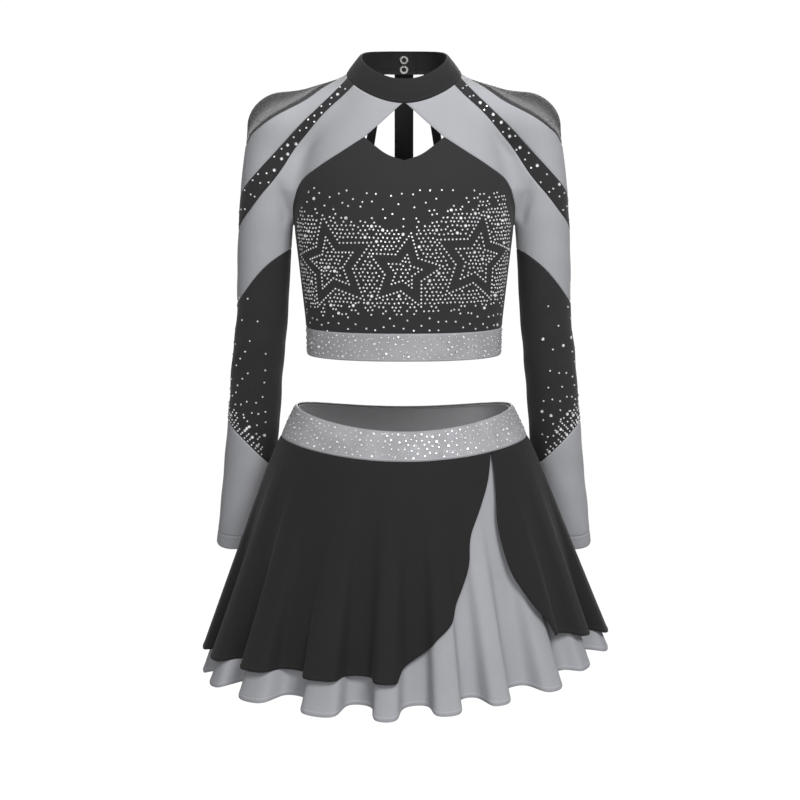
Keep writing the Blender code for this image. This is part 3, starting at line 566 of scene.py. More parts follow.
class Paint:
    """A new material. Its methods take numbers, colours or sockets, and give back the socket they make."""

    def __init__(self, name):
        self.name = name
        self.material = bpy.data.materials.new(name)
        self.material.use_nodes = True
        self.tree = self.material.node_tree

    def feed(self, socket, value):
        if isinstance(value, bpy.types.NodeSocket):
            self.tree.links.new(value, socket)
        else:
            socket.default_value = (*value, 1) if socket.type == "RGBA" else value

    def node(self, kind, inputs, **settings):
        made = self.tree.nodes.new("ShaderNode" + kind)
        for key, value in settings.items():
            setattr(made, key, value)
        for key, value in inputs.items():
            self.feed(made.inputs[key], value)
        return made

    def math(self, operation, a, b=0.5):
        return self.node("Math", {0: a, 1: b}, operation=operation).outputs[0]

    def plus(self, a, b):
        return self.math("ADD", a, b)

    def minus(self, a, b):
        return self.math("SUBTRACT", a, b)

    def times(self, a, b):
        return self.math("MULTIPLY", a, b)

    def most(self, a, b):
        return self.math("MAXIMUM", a, b)

    def repeats(self, value, pitch):
        """Rises from 0 to 0.5 and falls back over each two pitches."""
        return self.math("PINGPONG", self.math("DIVIDE", value, pitch), 0.5)

    def eased(self, value, low, high, to_low=0.0, to_high=1.0, kind="SMOOTHSTEP"):
        ends = {"Value": value, "From Min": low, "From Max": high, "To Min": to_low, "To Max": to_high}
        return self.node("MapRange", ends, interpolation_type=kind).outputs["Result"]

    def scaled(self, value, low, high, to_low, to_high):
        return self.eased(value, low, high, to_low, to_high, "LINEAR")

    def mixed(self, share, a, b, blend="MIX"):
        made = self.node("Mix", {}, data_type="RGBA", blend_type=blend)
        for socket, value in zip([s for s in made.inputs if s.enabled], (share, a, b)):
            self.feed(socket, value)
        return next(s for s in made.outputs if s.enabled)

    def object_place(self):
        return self.node("TexCoord", {}).outputs["Object"]

    def noise(self, scale, detail):
        inputs = {"Vector": self.object_place(), "Scale": scale, "Detail": detail}
        return self.node("TexNoise", inputs).outputs["Fac"]

    def told(self, attribute, output):
        return self.node("Attribute", {}, attribute_name=attribute).outputs[output]

    def cloth(self):
        """Metres across the cloth, along it, and from its stitched edge."""
        return self.node("SeparateXYZ", {0: self.told("cloth", "Vector")}).outputs

    def finished(self, inputs, relief=None, strength=0.0, distance=0.0003):
        shader = self.tree.nodes["Principled BSDF"]
        for key, value in inputs.items():
            self.feed(shader.inputs[key], value)
        if relief is not None:
            bumped = self.node("Bump", {"Height": relief, "Strength": strength, "Distance": distance})
            self.feed(shader.inputs["Normal"], bumped.outputs[0])
        PAINT[self.name] = self.material


def shaded(colour, factor):
    return tuple(c * factor for c in colour)


def knit_pattern(paint, u, v, wale, course):
    """Columns of small V stitches: 0 in the gaps and 1 on the yarn."""
    columns = paint.repeats(u, wale)
    rows = paint.plus(paint.math("DIVIDE", v, course), paint.times(columns, 1.1))
    stitch = paint.math("ABSOLUTE", paint.math("SINE", paint.times(rows, math.pi)))
    return paint.times(stitch, paint.eased(columns, 0.0, 0.16))


def stitched(paint, u, hem, lines):
    """Dashes along a hem at some distances from its edge, and the groove that they pull into the cloth."""
    dash = paint.eased(paint.repeats(u, STITCH), 0.10, 0.16)
    thread = groove = 0.0
    for at in lines:
        off = paint.math("ABSOLUTE", paint.minus(hem, at))
        thread = paint.most(thread, paint.times(paint.eased(off, 0.00025, 0.0006, 1.0, 0.0), dash))
        groove = paint.most(groove, paint.eased(off, 0.0, 0.0014, 1.6, 0.0))
    return thread, groove


def knit(name, colour, lines=(), thread_colour=None, sheen=0.1, heather=0.06, gauge=(WALE, COURSE),
         bump=0.35):
    """A fine stretch knit: stitch relief, with painted shade in the gaps between stitches and a little
    painted light on the yarn, uneven dye, a soft bloom at grazing angles and stitched hems.
    """
    paint = Paint(name)
    u, v, hem = paint.cloth()
    pattern = knit_pattern(paint, u, v, *gauge)
    cloudy, fibre = paint.noise(14.0, 3.0), paint.noise(900.0, 2.0)
    uneven = [paint.scaled(each, 0.3, 0.7, -heather, heather) for each in (cloudy, fibre)]
    # The stitch pattern makes the colour darker in the gaps and a little lighter on the yarn: painted shade
    # and light of the stitch relief.
    tone = paint.plus(paint.plus(*uneven), paint.scaled(pattern, 0.0, 1.0, 0.86, 1.05))
    grey = paint.node("CombineColor", {0: tone, 1: tone, 2: tone}).outputs[0]
    out = paint.mixed(1.0, colour, grey, "MULTIPLY")
    relief = paint.plus(paint.times(pattern, 0.6), paint.times(fibre, 0.5))
    if lines:
        thread, groove = stitched(paint, u, hem, lines)
        out = paint.mixed(thread, out, thread_colour or tuple(c * 1.25 + 0.01 for c in colour))
        relief = paint.plus(paint.minus(relief, groove), paint.times(thread, 2.2))
    rough = paint.scaled(pattern, 0.0, 1.0, 0.9, 0.75)
    paint.finished({"Base Color": out, "Roughness": rough, "Sheen Weight": sheen, "Sheen Roughness": 0.5,
                    "Specular IOR Level": 0.25}, relief, bump)


def glitter(name, colour, lines):
    """Grey knit with fused glitter: small flat flecks, each facing its own way."""
    paint = Paint(name)
    u, v, hem = paint.cloth()
    pattern = knit_pattern(paint, u, v, WALE, COURSE)
    cells = paint.node("TexVoronoi", {"Vector": paint.object_place(), "Scale": 1300.0}, feature="F1").outputs
    chance = paint.node("SeparateColor", {0: cells["Color"]}).outputs[0]
    fleck = paint.times(paint.eased(chance, 0.90, 0.94), paint.eased(cells["Distance"], 0.36, 0.46, 1.0, 0.0))
    base = paint.mixed(paint.eased(paint.noise(40.0, 4.0), 0.3, 0.7), shaded(colour, 0.82), colour)
    thread, _ = stitched(paint, u, hem, lines)
    out = paint.mixed(thread, paint.mixed(fleck, base, (0.66, 0.66, 0.68)), (0.5, 0.5, 0.52))
    relief = paint.plus(pattern, paint.times(thread, 2.0))
    relief = paint.plus(paint.times(chance, fleck), paint.times(relief, 0.4))
    paint.finished({"Base Color": out, "Roughness": paint.scaled(fleck, 0, 1, 0.62, 0.22),
                    "Metallic": paint.times(fleck, 0.6), "Sheen Weight": 0.05}, relief, 0.5)


def net(name):
    """Sheer power mesh: black yarn round small holes, closer and darker towards its seams and its ridge."""
    paint = Paint(name)
    u, v, edge = paint.cloth()
    u, v = (paint.math("DIVIDE", each, NET_PITCH) for each in (u, v))
    ways = paint.plus(u, v), paint.minus(u, v)
    holes = [paint.eased(paint.math("PINGPONG", way), 0.06, 0.2) for way in ways]
    yarn = paint.minus(1.0, paint.times(*holes))
    dense = paint.most(paint.eased(edge, 0.002, 0.009, 0.75, 0.24),
                       paint.eased(edge, 0.012, 0.024, 0.24, 0.55))
    sheer = paint.math("MINIMUM", paint.plus(paint.times(yarn, 0.20), dense), 1.0)
    alpha = paint.most(sheer, paint.eased(edge, 0.0018, 0.0026, 1.0, 0.0))
    colour = paint.mixed(yarn, (0.03, 0.03, 0.032), (0.05, 0.05, 0.053))
    paint.finished({"Base Color": colour, "Roughness": 0.7, "Alpha": alpha}, yarn, 0.4)


def web(name, colour):
    """Woven elastic: ribs that run up the band, with painted shade darkening the grooves between them."""
    paint = Paint(name)
    u, v, _ = paint.cloth()
    height = paint.plus(paint.times(paint.repeats(u, RIB), 2.0), paint.times(paint.repeats(v, PICK), 0.6))
    # Darker where the relief is low: painted shade in the grooves between the ribs.
    out = paint.mixed(paint.eased(height, 0.1, 1.1), shaded(colour, 0.6), colour)
    paint.finished({"Base Color": out, "Roughness": 0.85}, height, 0.6, 0.0004)


def metal(name):
    """Nickel plate with faint tool marks and handling wear."""
    paint = Paint(name)
    marks, worn = paint.noise(1500.0, 3.0), paint.noise(220.0, 3.0)
    out = paint.mixed(paint.eased(worn, 0.35, 0.65), (0.62, 0.61, 0.59), (0.80, 0.80, 0.79))
    rough = paint.scaled(marks, 0.3, 0.7, 0.16, 0.34)
    paint.finished({"Base Color": out, "Roughness": rough, "Metallic": 1.0}, marks, 0.08, 0.0001)


def crystal(name, painted_facet_shade):
    """Foil-backed glass stones with painted glints: each facet painted a little lighter or darker than the
    next in place of its reflections, from painted shade up to white, and the tables painted brightest as a
    highlight.
    """
    paint = Paint(name)
    # This attribute holds the painted light of each facet: low on the side facets, highest on the tables.
    spark = paint.told("spark", "Fac")
    paint.finished({"Base Color": paint.mixed(spark, painted_facet_shade, (1.0, 1.0, 1.0)), "Metallic": 0.35,
                    "Roughness": paint.scaled(spark, 0, 1, 0.42, 0.30), "Coat Weight": 0.15})


BLACK, GREY = (0.023, 0.023, 0.0245), (0.43, 0.435, 0.46)
knit("black_knit", BLACK, sheen=0.06)
knit("black_skirt_knit", (0.0095, 0.0095, 0.0102), lines=(0.0062,), sheen=0.03)
knit("grey_knit", GREY, heather=0.035)
knit("grey_cuff_knit", GREY, lines=(0.0012, 0.0042), thread_colour=(0.36, 0.36, 0.38), heather=0.035)
knit("grey_skirt_knit", (0.39, 0.395, 0.42), lines=(0.0062,), heather=0.035)
knit("black_collar_knit", (0.015, 0.015, 0.016), lines=(0.0035,), sheen=0.04)
glitter("glitter_knit", (0.38, 0.38, 0.40), lines=(0.0022,))
knit("lining_knit", (0.44, 0.44, 0.45), gauge=(LINING_WALE, LINING_COURSE), bump=0.6)
web("elastic_web", (0.6, 0.6, 0.58))
net("mesh_net")
metal("snap_metal")
# These colours are the painted shade of the stones' side facets, darker for the stones on the grey bands.
crystal("crystal", (0.22, 0.22, 0.24))
crystal("band_crystal", (0.07, 0.07, 0.08))

# ---------------------------------------------------------------- neckband

BAND_COLUMNS, LAP_COLUMNS, FLAP_COLUMNS, COLLAR_ROWS = 130, 20, 44, 15


def front_share(turn):
    return (1 + np.cos(np.radians(turn))) / 2


def collar_point(turn, rise):
    t = np.radians(np.asarray(turn, float))
    half = [low + (high - low) * rise for low, high in zip(COLLAR_BASE, COLLAR_TOP)]
    base = COLLAR_BASE_HEIGHT[0] - COLLAR_BASE_HEIGHT[1] * front_share(turn) ** 3
    top = COLLAR_TOP_HEIGHT[0] - COLLAR_TOP_HEIGHT[1] * front_share(turn) ** 2.7
    return np.stack([half[0] * np.sin(t), -half[1] * np.cos(t), base + (top - base) * rise], -1)


def collar_seam(start_turn, end_turn, count):
    return on_form(collar_point(np.linspace(start_turn, end_turn, count + 1), 0.0))


def band_part(turns, inset):
    base, top = on_form(collar_point(turns, 0.0)), collar_point(turns, 1.0)
    rises = np.linspace(0.0, 1.0, COLLAR_ROWS)[None, :, None]
    grid = base[:, None] * (1 - rises) + top[:, None] * rises
    away = unit(grid * np.array([1.0, 1.0, 0.0]))
    grid = grid + away * (BAND_BULGE * np.sin(np.pi * rises) - inset[:, None, None])
    g, far = eased(grid, "lhe")
    normal = grid_normals(g)
    return g - normal * sunk(far, BAND_DIP), normal, cloth_coordinates(g, "low", 0.4)


def add_neckband():
    """The band with its underlap, which steps in behind the flap, and the flap."""
    lap = math.degrees(math.asin(LAP_HALF_WIDTH / COLLAR_TOP[0]))
    turns = np.r_[np.linspace(FLAP_ROOT_TURN, -180 + lap + LAP_STEP_TURN, BAND_COLUMNS),
                  np.linspace(-180 + lap, -180 - lap, LAP_COLUMNS)]
    inset = np.r_[np.zeros(BAND_COLUMNS), np.full(LAP_COLUMNS, LAP_STEP)]
    sew("collar_band", [band_part(turns, inset)], "black_collar_knit", ["neckband"], "crop_top",
        thickness=COLLAR_CLOTH)
    turns = np.linspace(FLAP_ROOT_TURN, 180 + lap, FLAP_COLUMNS)
    bend = on_form(collar_point([FLAP_ROOT_TURN, FLAP_ROOT_TURN + FLAP_BEND_TURN], 0.0))
    sew("collar_flap", [band_part(turns, np.zeros(FLAP_COLUMNS))], "black_collar_knit", ["neckband_flap"],
        "neck_flap", bend, thickness=COLLAR_CLOTH)


def paint_snaps():
    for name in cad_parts:
        if name.startswith("snap_"):
            for slot in bpy.data.objects[name].material_slots:
                slot.material = PAINT["snap_metal"]


# ---------------------------------------------------------------- bodice, yoke and straps

BODICE_ROWS, STRIPE_ROWS, BLACK_STRIPE_ROWS = 48, 12, 10
NET_COLUMNS, NET_CELL, NET_SINK = 26, (2.2, 2.6), 0.2
STRAP_ROWS, CENTRE_STRAP_COLUMNS, SIDE_STRAP_COLUMNS = 44, 8, 5
BAND_AROUND = 90


def bodice_seam(front):
    """From the underarm up to the corner of the keyhole, or of the open back."""
    points, corner = (BODICE_SEAM, KEYHOLE_CORNER) if front else (BACK_BODICE_SEAM, OPENING_CORNER)
    return seam([UNDERARM, *points[::-1], corner], 7 * FINE)


def raglan_edge(front):
    """From that corner up to the neckband."""
    corner, points, turn = ((KEYHOLE_CORNER, [KEYHOLE_SIDE], KEYHOLE_TURN) if front
                            else (OPENING_CORNER, OPENING_SIDE, OPENING_TURN))
    return seam([corner, *points, tuple(collar_point(turn, 0.0))], 4 * FINE)


def opening_height(x):
    return OPENING_CORNER[2] - OPENING_DEPTH * math.sqrt(max(1 - (x / OPENING_HALF_WIDTH) ** 2, 0))


def bodice_centre(front):
    """From that corner to the centre line: the V of the keyhole, or the round foot of the open back."""
    if front:
        return seam([KEYHOLE_CORNER, KEYHOLE_LOW, KEYHOLE_POINT], 4 * FINE)
    x = OPENING_HALF_WIDTH * np.cos(np.radians(np.linspace(0, 90, 5 * FINE + 1)))
    return on_form(np.stack([x, np.full(len(x), BACK_DEPTH), [opening_height(each) for each in x]], -1))


def torso_ring(height, count, front):
    turns = np.radians(np.linspace(0, 180, count + 1)) * (-1 if front else 1)
    z = np.full(count + 1, float(height))
    half_width, ahead, behind = table_at(TORSO_FINE, z)
    depth = ahead if front else behind
    return on_form(np.stack([half_width * np.cos(turns), depth * np.sin(turns), z], -1))


def add_bodice():
    for word in ("front", "back"):
        front = word == "front"
        half = joined(bodice_seam(front), bodice_centre(front))
        top = joined(half, mirrored(half[::-1], -1))
        side = seam([UNDERARM, SIDE_SEAM_MIDDLE, tuple(torso_ring(HEM_TOP, 2, True)[0])], BODICE_ROWS)
        low = torso_ring(HEM_TOP, len(top) - 1, front)
        grid = patch(top, low, side, mirrored(side, -1), PATCH_ROUNDS)
        sew(f"panel_bodice_{word}", [form_part(grid)], "black_knit", [f"bodice_{word}"], "crop_top")


def sleeve_point(turns, heights):
    z = heights(turns) if callable(heights) else heights
    out, behind, radius = table_at(SLEEVE_FINE, z)
    t = np.radians(turns)
    return np.stack([out + radius * np.cos(t), behind + radius * np.sin(t), z], -1)


def split_height(turns):
    """Where the sleeve's body starts: a sphere round the shoulder."""
    height = np.full(np.shape(turns), SPLIT_START)
    for _ in range(SPLIT_ROUNDS):
        out, _, radius = table_at(SLEEVE_FINE, height)
        x = out + radius * np.cos(np.radians(turns)) - SHOULDER_PIVOT[0]
        height = SHOULDER_PIVOT[2] - np.sqrt(SLEEVE_SPLIT_RADIUS ** 2 - x * x)
    return height


def inset_seam(front):
    return seam([(x, y if front else -y, z) for x, y, z in INSET_SEAM], 12 * FINE)


def stripe_seam(points, collar_turn, last, front):
    start = collar_point(collar_turn if front else 180 - collar_turn, 0.0)
    body = [(x, y if front else STRIPE_BACK_SHIFT - y, z) for x, y, z in points]
    return seam([tuple(start), *body, tuple(last)], 13 * FINE)


def stripe_top_seam(front):
    return stripe_seam(STRIPE_TOP_SEAM[:-1], STRIPE_TOP_TURN, STRIPE_TOP_SEAM[-1], front)


def stripe_low_seam(front):
    last = sleeve_point(np.array([0.0]), split_height)[0]
    return stripe_seam(STRIPE_LOW_SEAM, STRIPE_LOW_TURN, last, front)


def side_part(grid, side, edges="lhse", hem=None):
    """As form_part, on one side of the body: the folds follow world coordinates, so the two sides differ."""
    return form_part(mirrored(grid, side), edges, hem)


def closed_ring(*curves):
    ring = joined(*curves)[:-1]
    return np.vstack([ring, ring[:1]])


def steps_from_ends(count, cell):
    steps = np.arange(count)
    return np.minimum(steps, steps[::-1]) * cell


def strip(near, far, columns):
    """A grid between two lines, with straight ends."""
    return patch(near, far, along([near[0], far[0]], columns), along([near[-1], far[-1]], columns))


def net_part(front, back, side):
    """The net's grid, and its part: the third cloth coordinate grows from every seam inwards."""
    grid = strip(front, back, NET_COLUMNS)
    g, far = eased(mirrored(grid, side))
    normal, coords = form_normal(g), cloth_coordinates(g)
    cells = np.minimum.outer(*(steps_from_ends(count, cell) for count, cell in zip(g.shape, NET_CELL)))
    coords[..., 2] = np.minimum(np.where(far < NO_EDGE, far, cells), cells + 0.4) * MM
    return g, (g - normal * (sunk(far) + NET_SINK), normal, coords)


def add_yoke(side, word):
    """The net over a shoulder and the two stripes round it. Returns the seams of the black stripe."""
    joint = arm(side, word)
    front, back = inset_seam(True), inset_seam(False)
    flat, part = net_part(front, back, side)
    sew(f"{word}_net_inset", [part], "mesh_net", [f"{word}_mesh_inset"], *joint, NET_CLOTH, [flat])

    ring = closed_ring(front, on_form(along([front[-1], back[-1]], 2 * FINE)), back[::-1],
                       on_form(along([back[0], front[0]], 2 * FINE)))
    top_seam = joined(stripe_top_seam(True), stripe_top_seam(False)[::-1])
    outer = closed_ring(top_seam, collar_seam(180 - STRIPE_TOP_TURN, STRIPE_TOP_TURN, 2 * FINE))
    part = side_part(between(ring, outer, STRIPE_ROWS), side, "lh")
    sew(f"{word}_upper_grey_stripe", [part], "grey_knit", [f"{word}_upper_stripe"], *joint)

    low_seam = joined(stripe_low_seam(True), stripe_low_seam(False)[::-1])
    part = side_part(between(low_seam, top_seam, BLACK_STRIPE_ROWS), side)
    sew(f"{word}_black_stripe", [part], "black_knit", [f"{word}_stone_stripe"], *joint)
    return low_seam, top_seam


def raglan_grid(front):
    turn = -180 if front else 180
    low_point = sleeve_point(np.array([-float(turn)]), split_height)[0]
    inner = joined(seam([low_point, UNDERARM], 2 * FINE), bodice_seam(front), raglan_edge(front))
    start = on_form(sleeve_point(np.linspace(turn, 0, 6 * FINE + 1), split_height))
    collar = (KEYHOLE_TURN, STRIPE_LOW_TURN) if front else (OPENING_TURN, 180 - STRIPE_LOW_TURN)
    return patch(inner, stripe_low_seam(front)[::-1], start, collar_seam(*collar, 6 * FINE), PATCH_ROUNDS)


def slanted(line, lean=0.0):
    """Heights of a sleeve seam by the turn round the sleeve."""
    def height(turns):
        c = np.cos(np.radians(turns))
        return line[0] + line[1] * c + line[2] * c * c + lean * np.sin(np.radians(turns))
    return height


upper_line, lower_line = slanted(UPPER_SEAM), slanted(LOWER_SEAM)
cuff_top, cuff_end = slanted(CUFF_SEAM, CUFF_LEAN), slanted(CUFF_END, CUFF_LEAN)
SLEEVE_PIECES = (  # name, upper and lower edge, rows, paint, hem, and whether it reaches the shoulder
    ("mid_sleeve", upper_line, lower_line, 74, "black_knit", None, True),
    ("lower_sleeve", lower_line, cuff_top, 42, "grey_knit", None, False),
    ("cuff_hem", cuff_top, cuff_end, 7, "grey_cuff_knit", "low", False),
)
UPPER_SLEEVE_ROWS = 14


def tube(above, below, rows):
    """A length of sleeve between two lines, from its inner side right round to it again."""
    turns = np.linspace(-180, 180, 12 * FINE + 1)
    share = np.linspace(0, 1, rows + 1)
    grid = np.stack([sleeve_point(turns, above(turns) * (1 - k) + below(turns) * k) for k in share], 1)
    return on_form(grid)


def add_sleeve(side, word, raglans):
    """The grey raglans run into the upper sleeve without a seam. The sleeve's lower pieces follow the arm."""
    joint = arm(side, word)
    parts = [side_part(grid, side, "lhe") for grid in raglans]
    parts.append(side_part(tube(split_height, upper_line, UPPER_SLEEVE_ROWS), side, "h"))
    nodes = [f"{word}_{name}" for name in ("raglan_front", "raglan_back", "upper_sleeve")]
    sew(f"{word}_grey_raglan_sleeve", parts, "grey_knit", nodes, *joint)
    for name, above, below, rows, paint, hem, bends in SLEEVE_PIECES:
        part = side_part(tube(above, below, rows), side, "lh", hem)
        sew(f"{word}_cloth_{name}", [part], paint, [f"{word}_{name}"], *(joint if bends else joint[:1]))


def strap_edge(at_collar, at_opening):
    turn = 180 - math.degrees(math.asin(at_collar / COLLAR_BASE[0]))
    top = on_form(collar_point(np.array([turn]), 0.0))[0]
    bottom = np.array([at_opening, BACK_DEPTH + 3, opening_height(at_opening) + 1.0])
    middle = (top + bottom) / 2 + np.array([0, STRAP_BOW, 0])
    return seam([tuple(top), tuple(middle), tuple(bottom)], STRAP_ROWS)


def add_straps():
    centre = strap_edge(CENTRE_STRAP_HALF_WIDTH, CENTRE_STRAP_HALF_WIDTH)
    near, far = (strap_edge(*ends) for ends in zip(SIDE_STRAP_AT_COLLAR, SIDE_STRAP_AT_OPENING))
    grid = strip(centre, mirrored(centre, -1), CENTRE_STRAP_COLUMNS)
    straps = [("centre_strap", "centre_back_strap", grid)]
    for side, word in SIDES:
        grid = mirrored(strip(near, far, SIDE_STRAP_COLUMNS), side)
        straps.append((f"{word}_narrow_strap", f"{word}_side_strap", grid))
    for name, node, grid in straps:
        sew(name, [form_part(grid)], "black_knit", [node], "crop_top", thickness=STRAP_CLOTH)


def hoop(top, bottom, count, rows):
    """Rings round the whole torso, from the bottom up."""
    rings = []
    for height in np.linspace(bottom, top, rows + 1):
        rings.append(joined(torso_ring(height, count, True), torso_ring(height, count, False)[::-1]))
    return np.stack(rings, 1)


def add_hem_band():
    layers = (  # name, node, how much shorter at each edge, rows
        ("glitter_hem", "hem_band", 0.0, 12),
        ("inner_hem_elastic", "hem_elastic", 4.0, 8),
        ("inner_hem_lining", "hem_band_lining", 1.0, 10),
    )
    for (name, node, short, rows), (paint, thickness, depth) in zip(layers, BAND_LAYERS):
        grid = hoop(HEM_TOP - short, HEM_BOTTOM + short, BAND_AROUND, rows)
        sew(name, [form_part(grid, "lh", "low", 0.3, depth)], paint, [node], "crop_top", thickness=thickness)


# ---------------------------------------------------------------- skirt

OVER_FOLD, UNDER_FOLD = 14.5, 17.0  # how far folds swing in and out at the hem
FOLD_GROWTH = 1.7  # nearer 1, folds start higher up
FOLD_WALL = 0.82  # nearer 1, the sides of a fold stand straighter
FOLD_FLATNESS = 1.3  # the larger, the flatter the tops of the folds
FOLD_SKEW = 0.16
OVER_SWAY, UNDER_SWAY = 2.0, 5.0  # how much lower a hem hangs at a crest
OVER_SHARE = [0.9, 0.8, 1.0, 0.85, 0.8, 0.75, 0.95, 0.9, 0.8, 0.85, 0.6, 0.45, 0.4, 0.45, 1.0, 0.9, 1.0, 0.85,
              0.9, 0.9]  # depth of each fold
UNDER_SHARE = [0.9, 0.85, 1.0, 0.9, 0.85, 0.7, 0.95, 1.0, 1.0, 1.0, 0.9, 0.85, 0.9, 0.5, 0.9, 0.9, 0.95, 0.85,
               0.9, 0.9]
FOLD_LEAN = rng.uniform(-0.5, 0.5, len(FOLD_CRESTS))
FOLD_LEAN[-1] = FOLD_LEAN[0]
HEM_ROLL, ROLL_AT, ROLL_REACH = 0.45, 3.2, 3.0  # the hem is turned up once, so it is a little thicker there
WAISTBAND_AROUND, WAISTBAND_ROWS = 240, 15


def waist_point(turns, drop):
    t = np.radians(turns)
    half = [low + (high - low) * drop for low, high in zip(WAIST_TOP, WAIST_BOTTOM)]
    mean, rise = (low + (high - low) * drop for low, high in zip(WAIST_TOP_HEIGHT, WAIST_BOTTOM_HEIGHT))
    z = mean - rise * np.cos(2 * t) + WAIST_SAG * np.cos(t) * (drop - 0.5)
    return np.stack([half[0] * np.sin(t), -half[1] * np.cos(t), z], -1)


def skirt_point(turns, drop, hem, hem_height, rise, inset, fold, shares, sway):
    """A point of a skirt layer: folds with straight sides that grow from the waist to the hem."""
    number = np.arange(len(FOLD_CRESTS))
    wrapped = (np.asarray(turns) + 180) % 360 - 180
    count = np.interp(wrapped, FOLD_CRESTS, number)
    share = np.interp(count, number, shares)
    phase = 2 * math.pi * count
    grown = drop ** FOLD_GROWTH * share
    lean = np.interp(count, number, FOLD_LEAN)
    moved = count + grown * (FOLD_WALL * np.sin(2 * phase) / (4 * math.pi) + FOLD_SKEW * lean * np.sin(phase))
    shift = np.interp(np.clip(moved, 0, number[-1]), number, FOLD_CRESTS) - wrapped
    t = np.radians(turns + shift)
    top = waist_point(turns, np.ones_like(t))[..., 2]
    swing = fold * grown * np.tanh(FOLD_FLATNESS * np.cos(phase)) / math.tanh(FOLD_FLATNESS)
    wide, deep = (low + (high - low) * drop ** BELL + swing - inset for low, high in zip(WAIST_BOTTOM, hem))
    bottom = hem_height[0] - hem_height[1] * np.cos(2 * np.radians(turns)) - sway * share * np.cos(phase)
    bottom = bottom + np.interp(turns, *np.array(rise, float).T)
    return np.stack([wide * np.sin(t), -deep * np.cos(t), top + (bottom - top) * drop], -1)


def edge_turns(edge, drops):
    if np.isscalar(edge):
        return np.full(len(drops), float(edge))
    line = along(edge, 80)
    return np.interp(drops, line[:, 1], line[:, 0])


def skirt_part(left, right, layer, columns, rows):
    drops = np.linspace(0.0, 1.0, rows + 1)
    share = np.linspace(0, 1, columns + 1)[:, None]
    turns = edge_turns(left, drops)[None] * (1 - share) + edge_turns(right, drops)[None] * share
    g, far = eased(skirt_point(turns, np.broadcast_to(drops, turns.shape), *layer), "she")
    normal = grid_normals(g)
    roll = HEM_ROLL * smooth(1 - np.abs(far - ROLL_AT) / ROLL_REACH)
    return g + normal * (roll[..., None] - sunk(far, SKIRT_DIP)), normal, cloth_coordinates(g, "high", 1.0)


def add_skirt():
    over = (OVERSKIRT_HEM, OVERSKIRT_HEM_HEIGHT, NO_RISE, 0.0, OVER_FOLD, OVER_SHARE, OVER_SWAY)
    wrap = (*over[:2], WRAP_RISE, *over[3:])
    under = (UNDERSKIRT_HEM, UNDERSKIRT_HEM_HEIGHT, UNDERSKIRT_RISE, UNDERSKIRT_INSET, UNDER_FOLD,
             UNDER_SHARE, UNDER_SWAY)
    panels = (  # name, node, left and right edge, layer, columns and rows, paint
        ("petal_front", "overskirt_front", -90, PETAL_FRONT, over, 170, 70, "black_skirt_knit"),
        ("petal_wrap", "overskirt_wrap", PETAL_SIDE, 90, wrap, 60, 70, "black_skirt_knit"),
        ("overskirt_rear", "overskirt_back", 90, 270, wrap, 230, 60, "black_skirt_knit"),
        ("underskirt_fore", "underskirt_front", -90, 90, under, 230, 66, "grey_skirt_knit"),
        ("underskirt_rear", "underskirt_back", 90, 270, under, 230, 60, "grey_skirt_knit"),
    )
    for name, node, *shape, paint in panels:
        sew(name, [skirt_part(*shape)], paint, [node], "skirt", thickness=SKIRT_CLOTH)


def add_waistband():
    layers = (  # name, node, share of the height missing at each edge
        ("glitter_waistband", "waistband", 0.0),
        ("inner_waist_elastic", "waist_elastic", 0.09),
        ("inner_waist_lining", "waistband_lining", 0.03),
    )
    turns = np.linspace(0, 360, WAISTBAND_AROUND + 1)
    for (name, node, short), (paint, thickness, depth) in zip(layers, BAND_LAYERS):
        drops = np.linspace(short, 1 - short, WAISTBAND_ROWS)
        g, far = eased(np.stack([waist_point(turns, drop) for drop in drops], 1), "lh")
        normal = grid_normals(g, True)
        bulge = BAND_BULGE * np.sin(np.linspace(0, np.pi, g.shape[1]))[None, :, None]
        skin = g + normal * (bulge - sunk(far, BAND_DIP) - depth)
        part = skin, normal, cloth_coordinates(g, "high", 0.0)
        sew(name, [part], paint, [node], "skirt", thickness=thickness)


# ---------------------------------------------------------------- stones

SMALL, LARGE = 1.35, 2.3  # radii of the two sizes
GEM_SIDES = 8
GEM_CROWN, GEM_TABLE = 0.62, 0.42  # radius and height of the table, as shares of the stone's radius
GLUE, TILT = 0.05, 0.045  # how far the stones stand off the cloth, and how much they lean
BAND_STONE = 0.95  # size of the bands' stones


def gem_shape():
    """A flat-backed round stone of radius 1: eight facets at the girdle, eight above them and a table."""
    a = np.arange(GEM_SIDES) * 2 * math.pi / GEM_SIDES
    b = a + math.pi / GEM_SIDES
    girdle = np.stack([np.cos(a), np.sin(a), np.full(GEM_SIDES, -0.05)], -1)
    crown = np.stack([GEM_CROWN * np.cos(b), GEM_CROWN * np.sin(b), np.full(GEM_SIDES, GEM_TABLE)], -1)
    faces = []
    for k in range(GEM_SIDES):
        n = (k + 1) % GEM_SIDES
        faces += [(k, n, GEM_SIDES + k), (n, GEM_SIDES + n, GEM_SIDES + k)]
    faces += [(GEM_SIDES, GEM_SIDES + k, GEM_SIDES + k + 1) for k in range(1, GEM_SIDES - 1)]
    return np.vstack([girdle, crown]), np.array(faces)


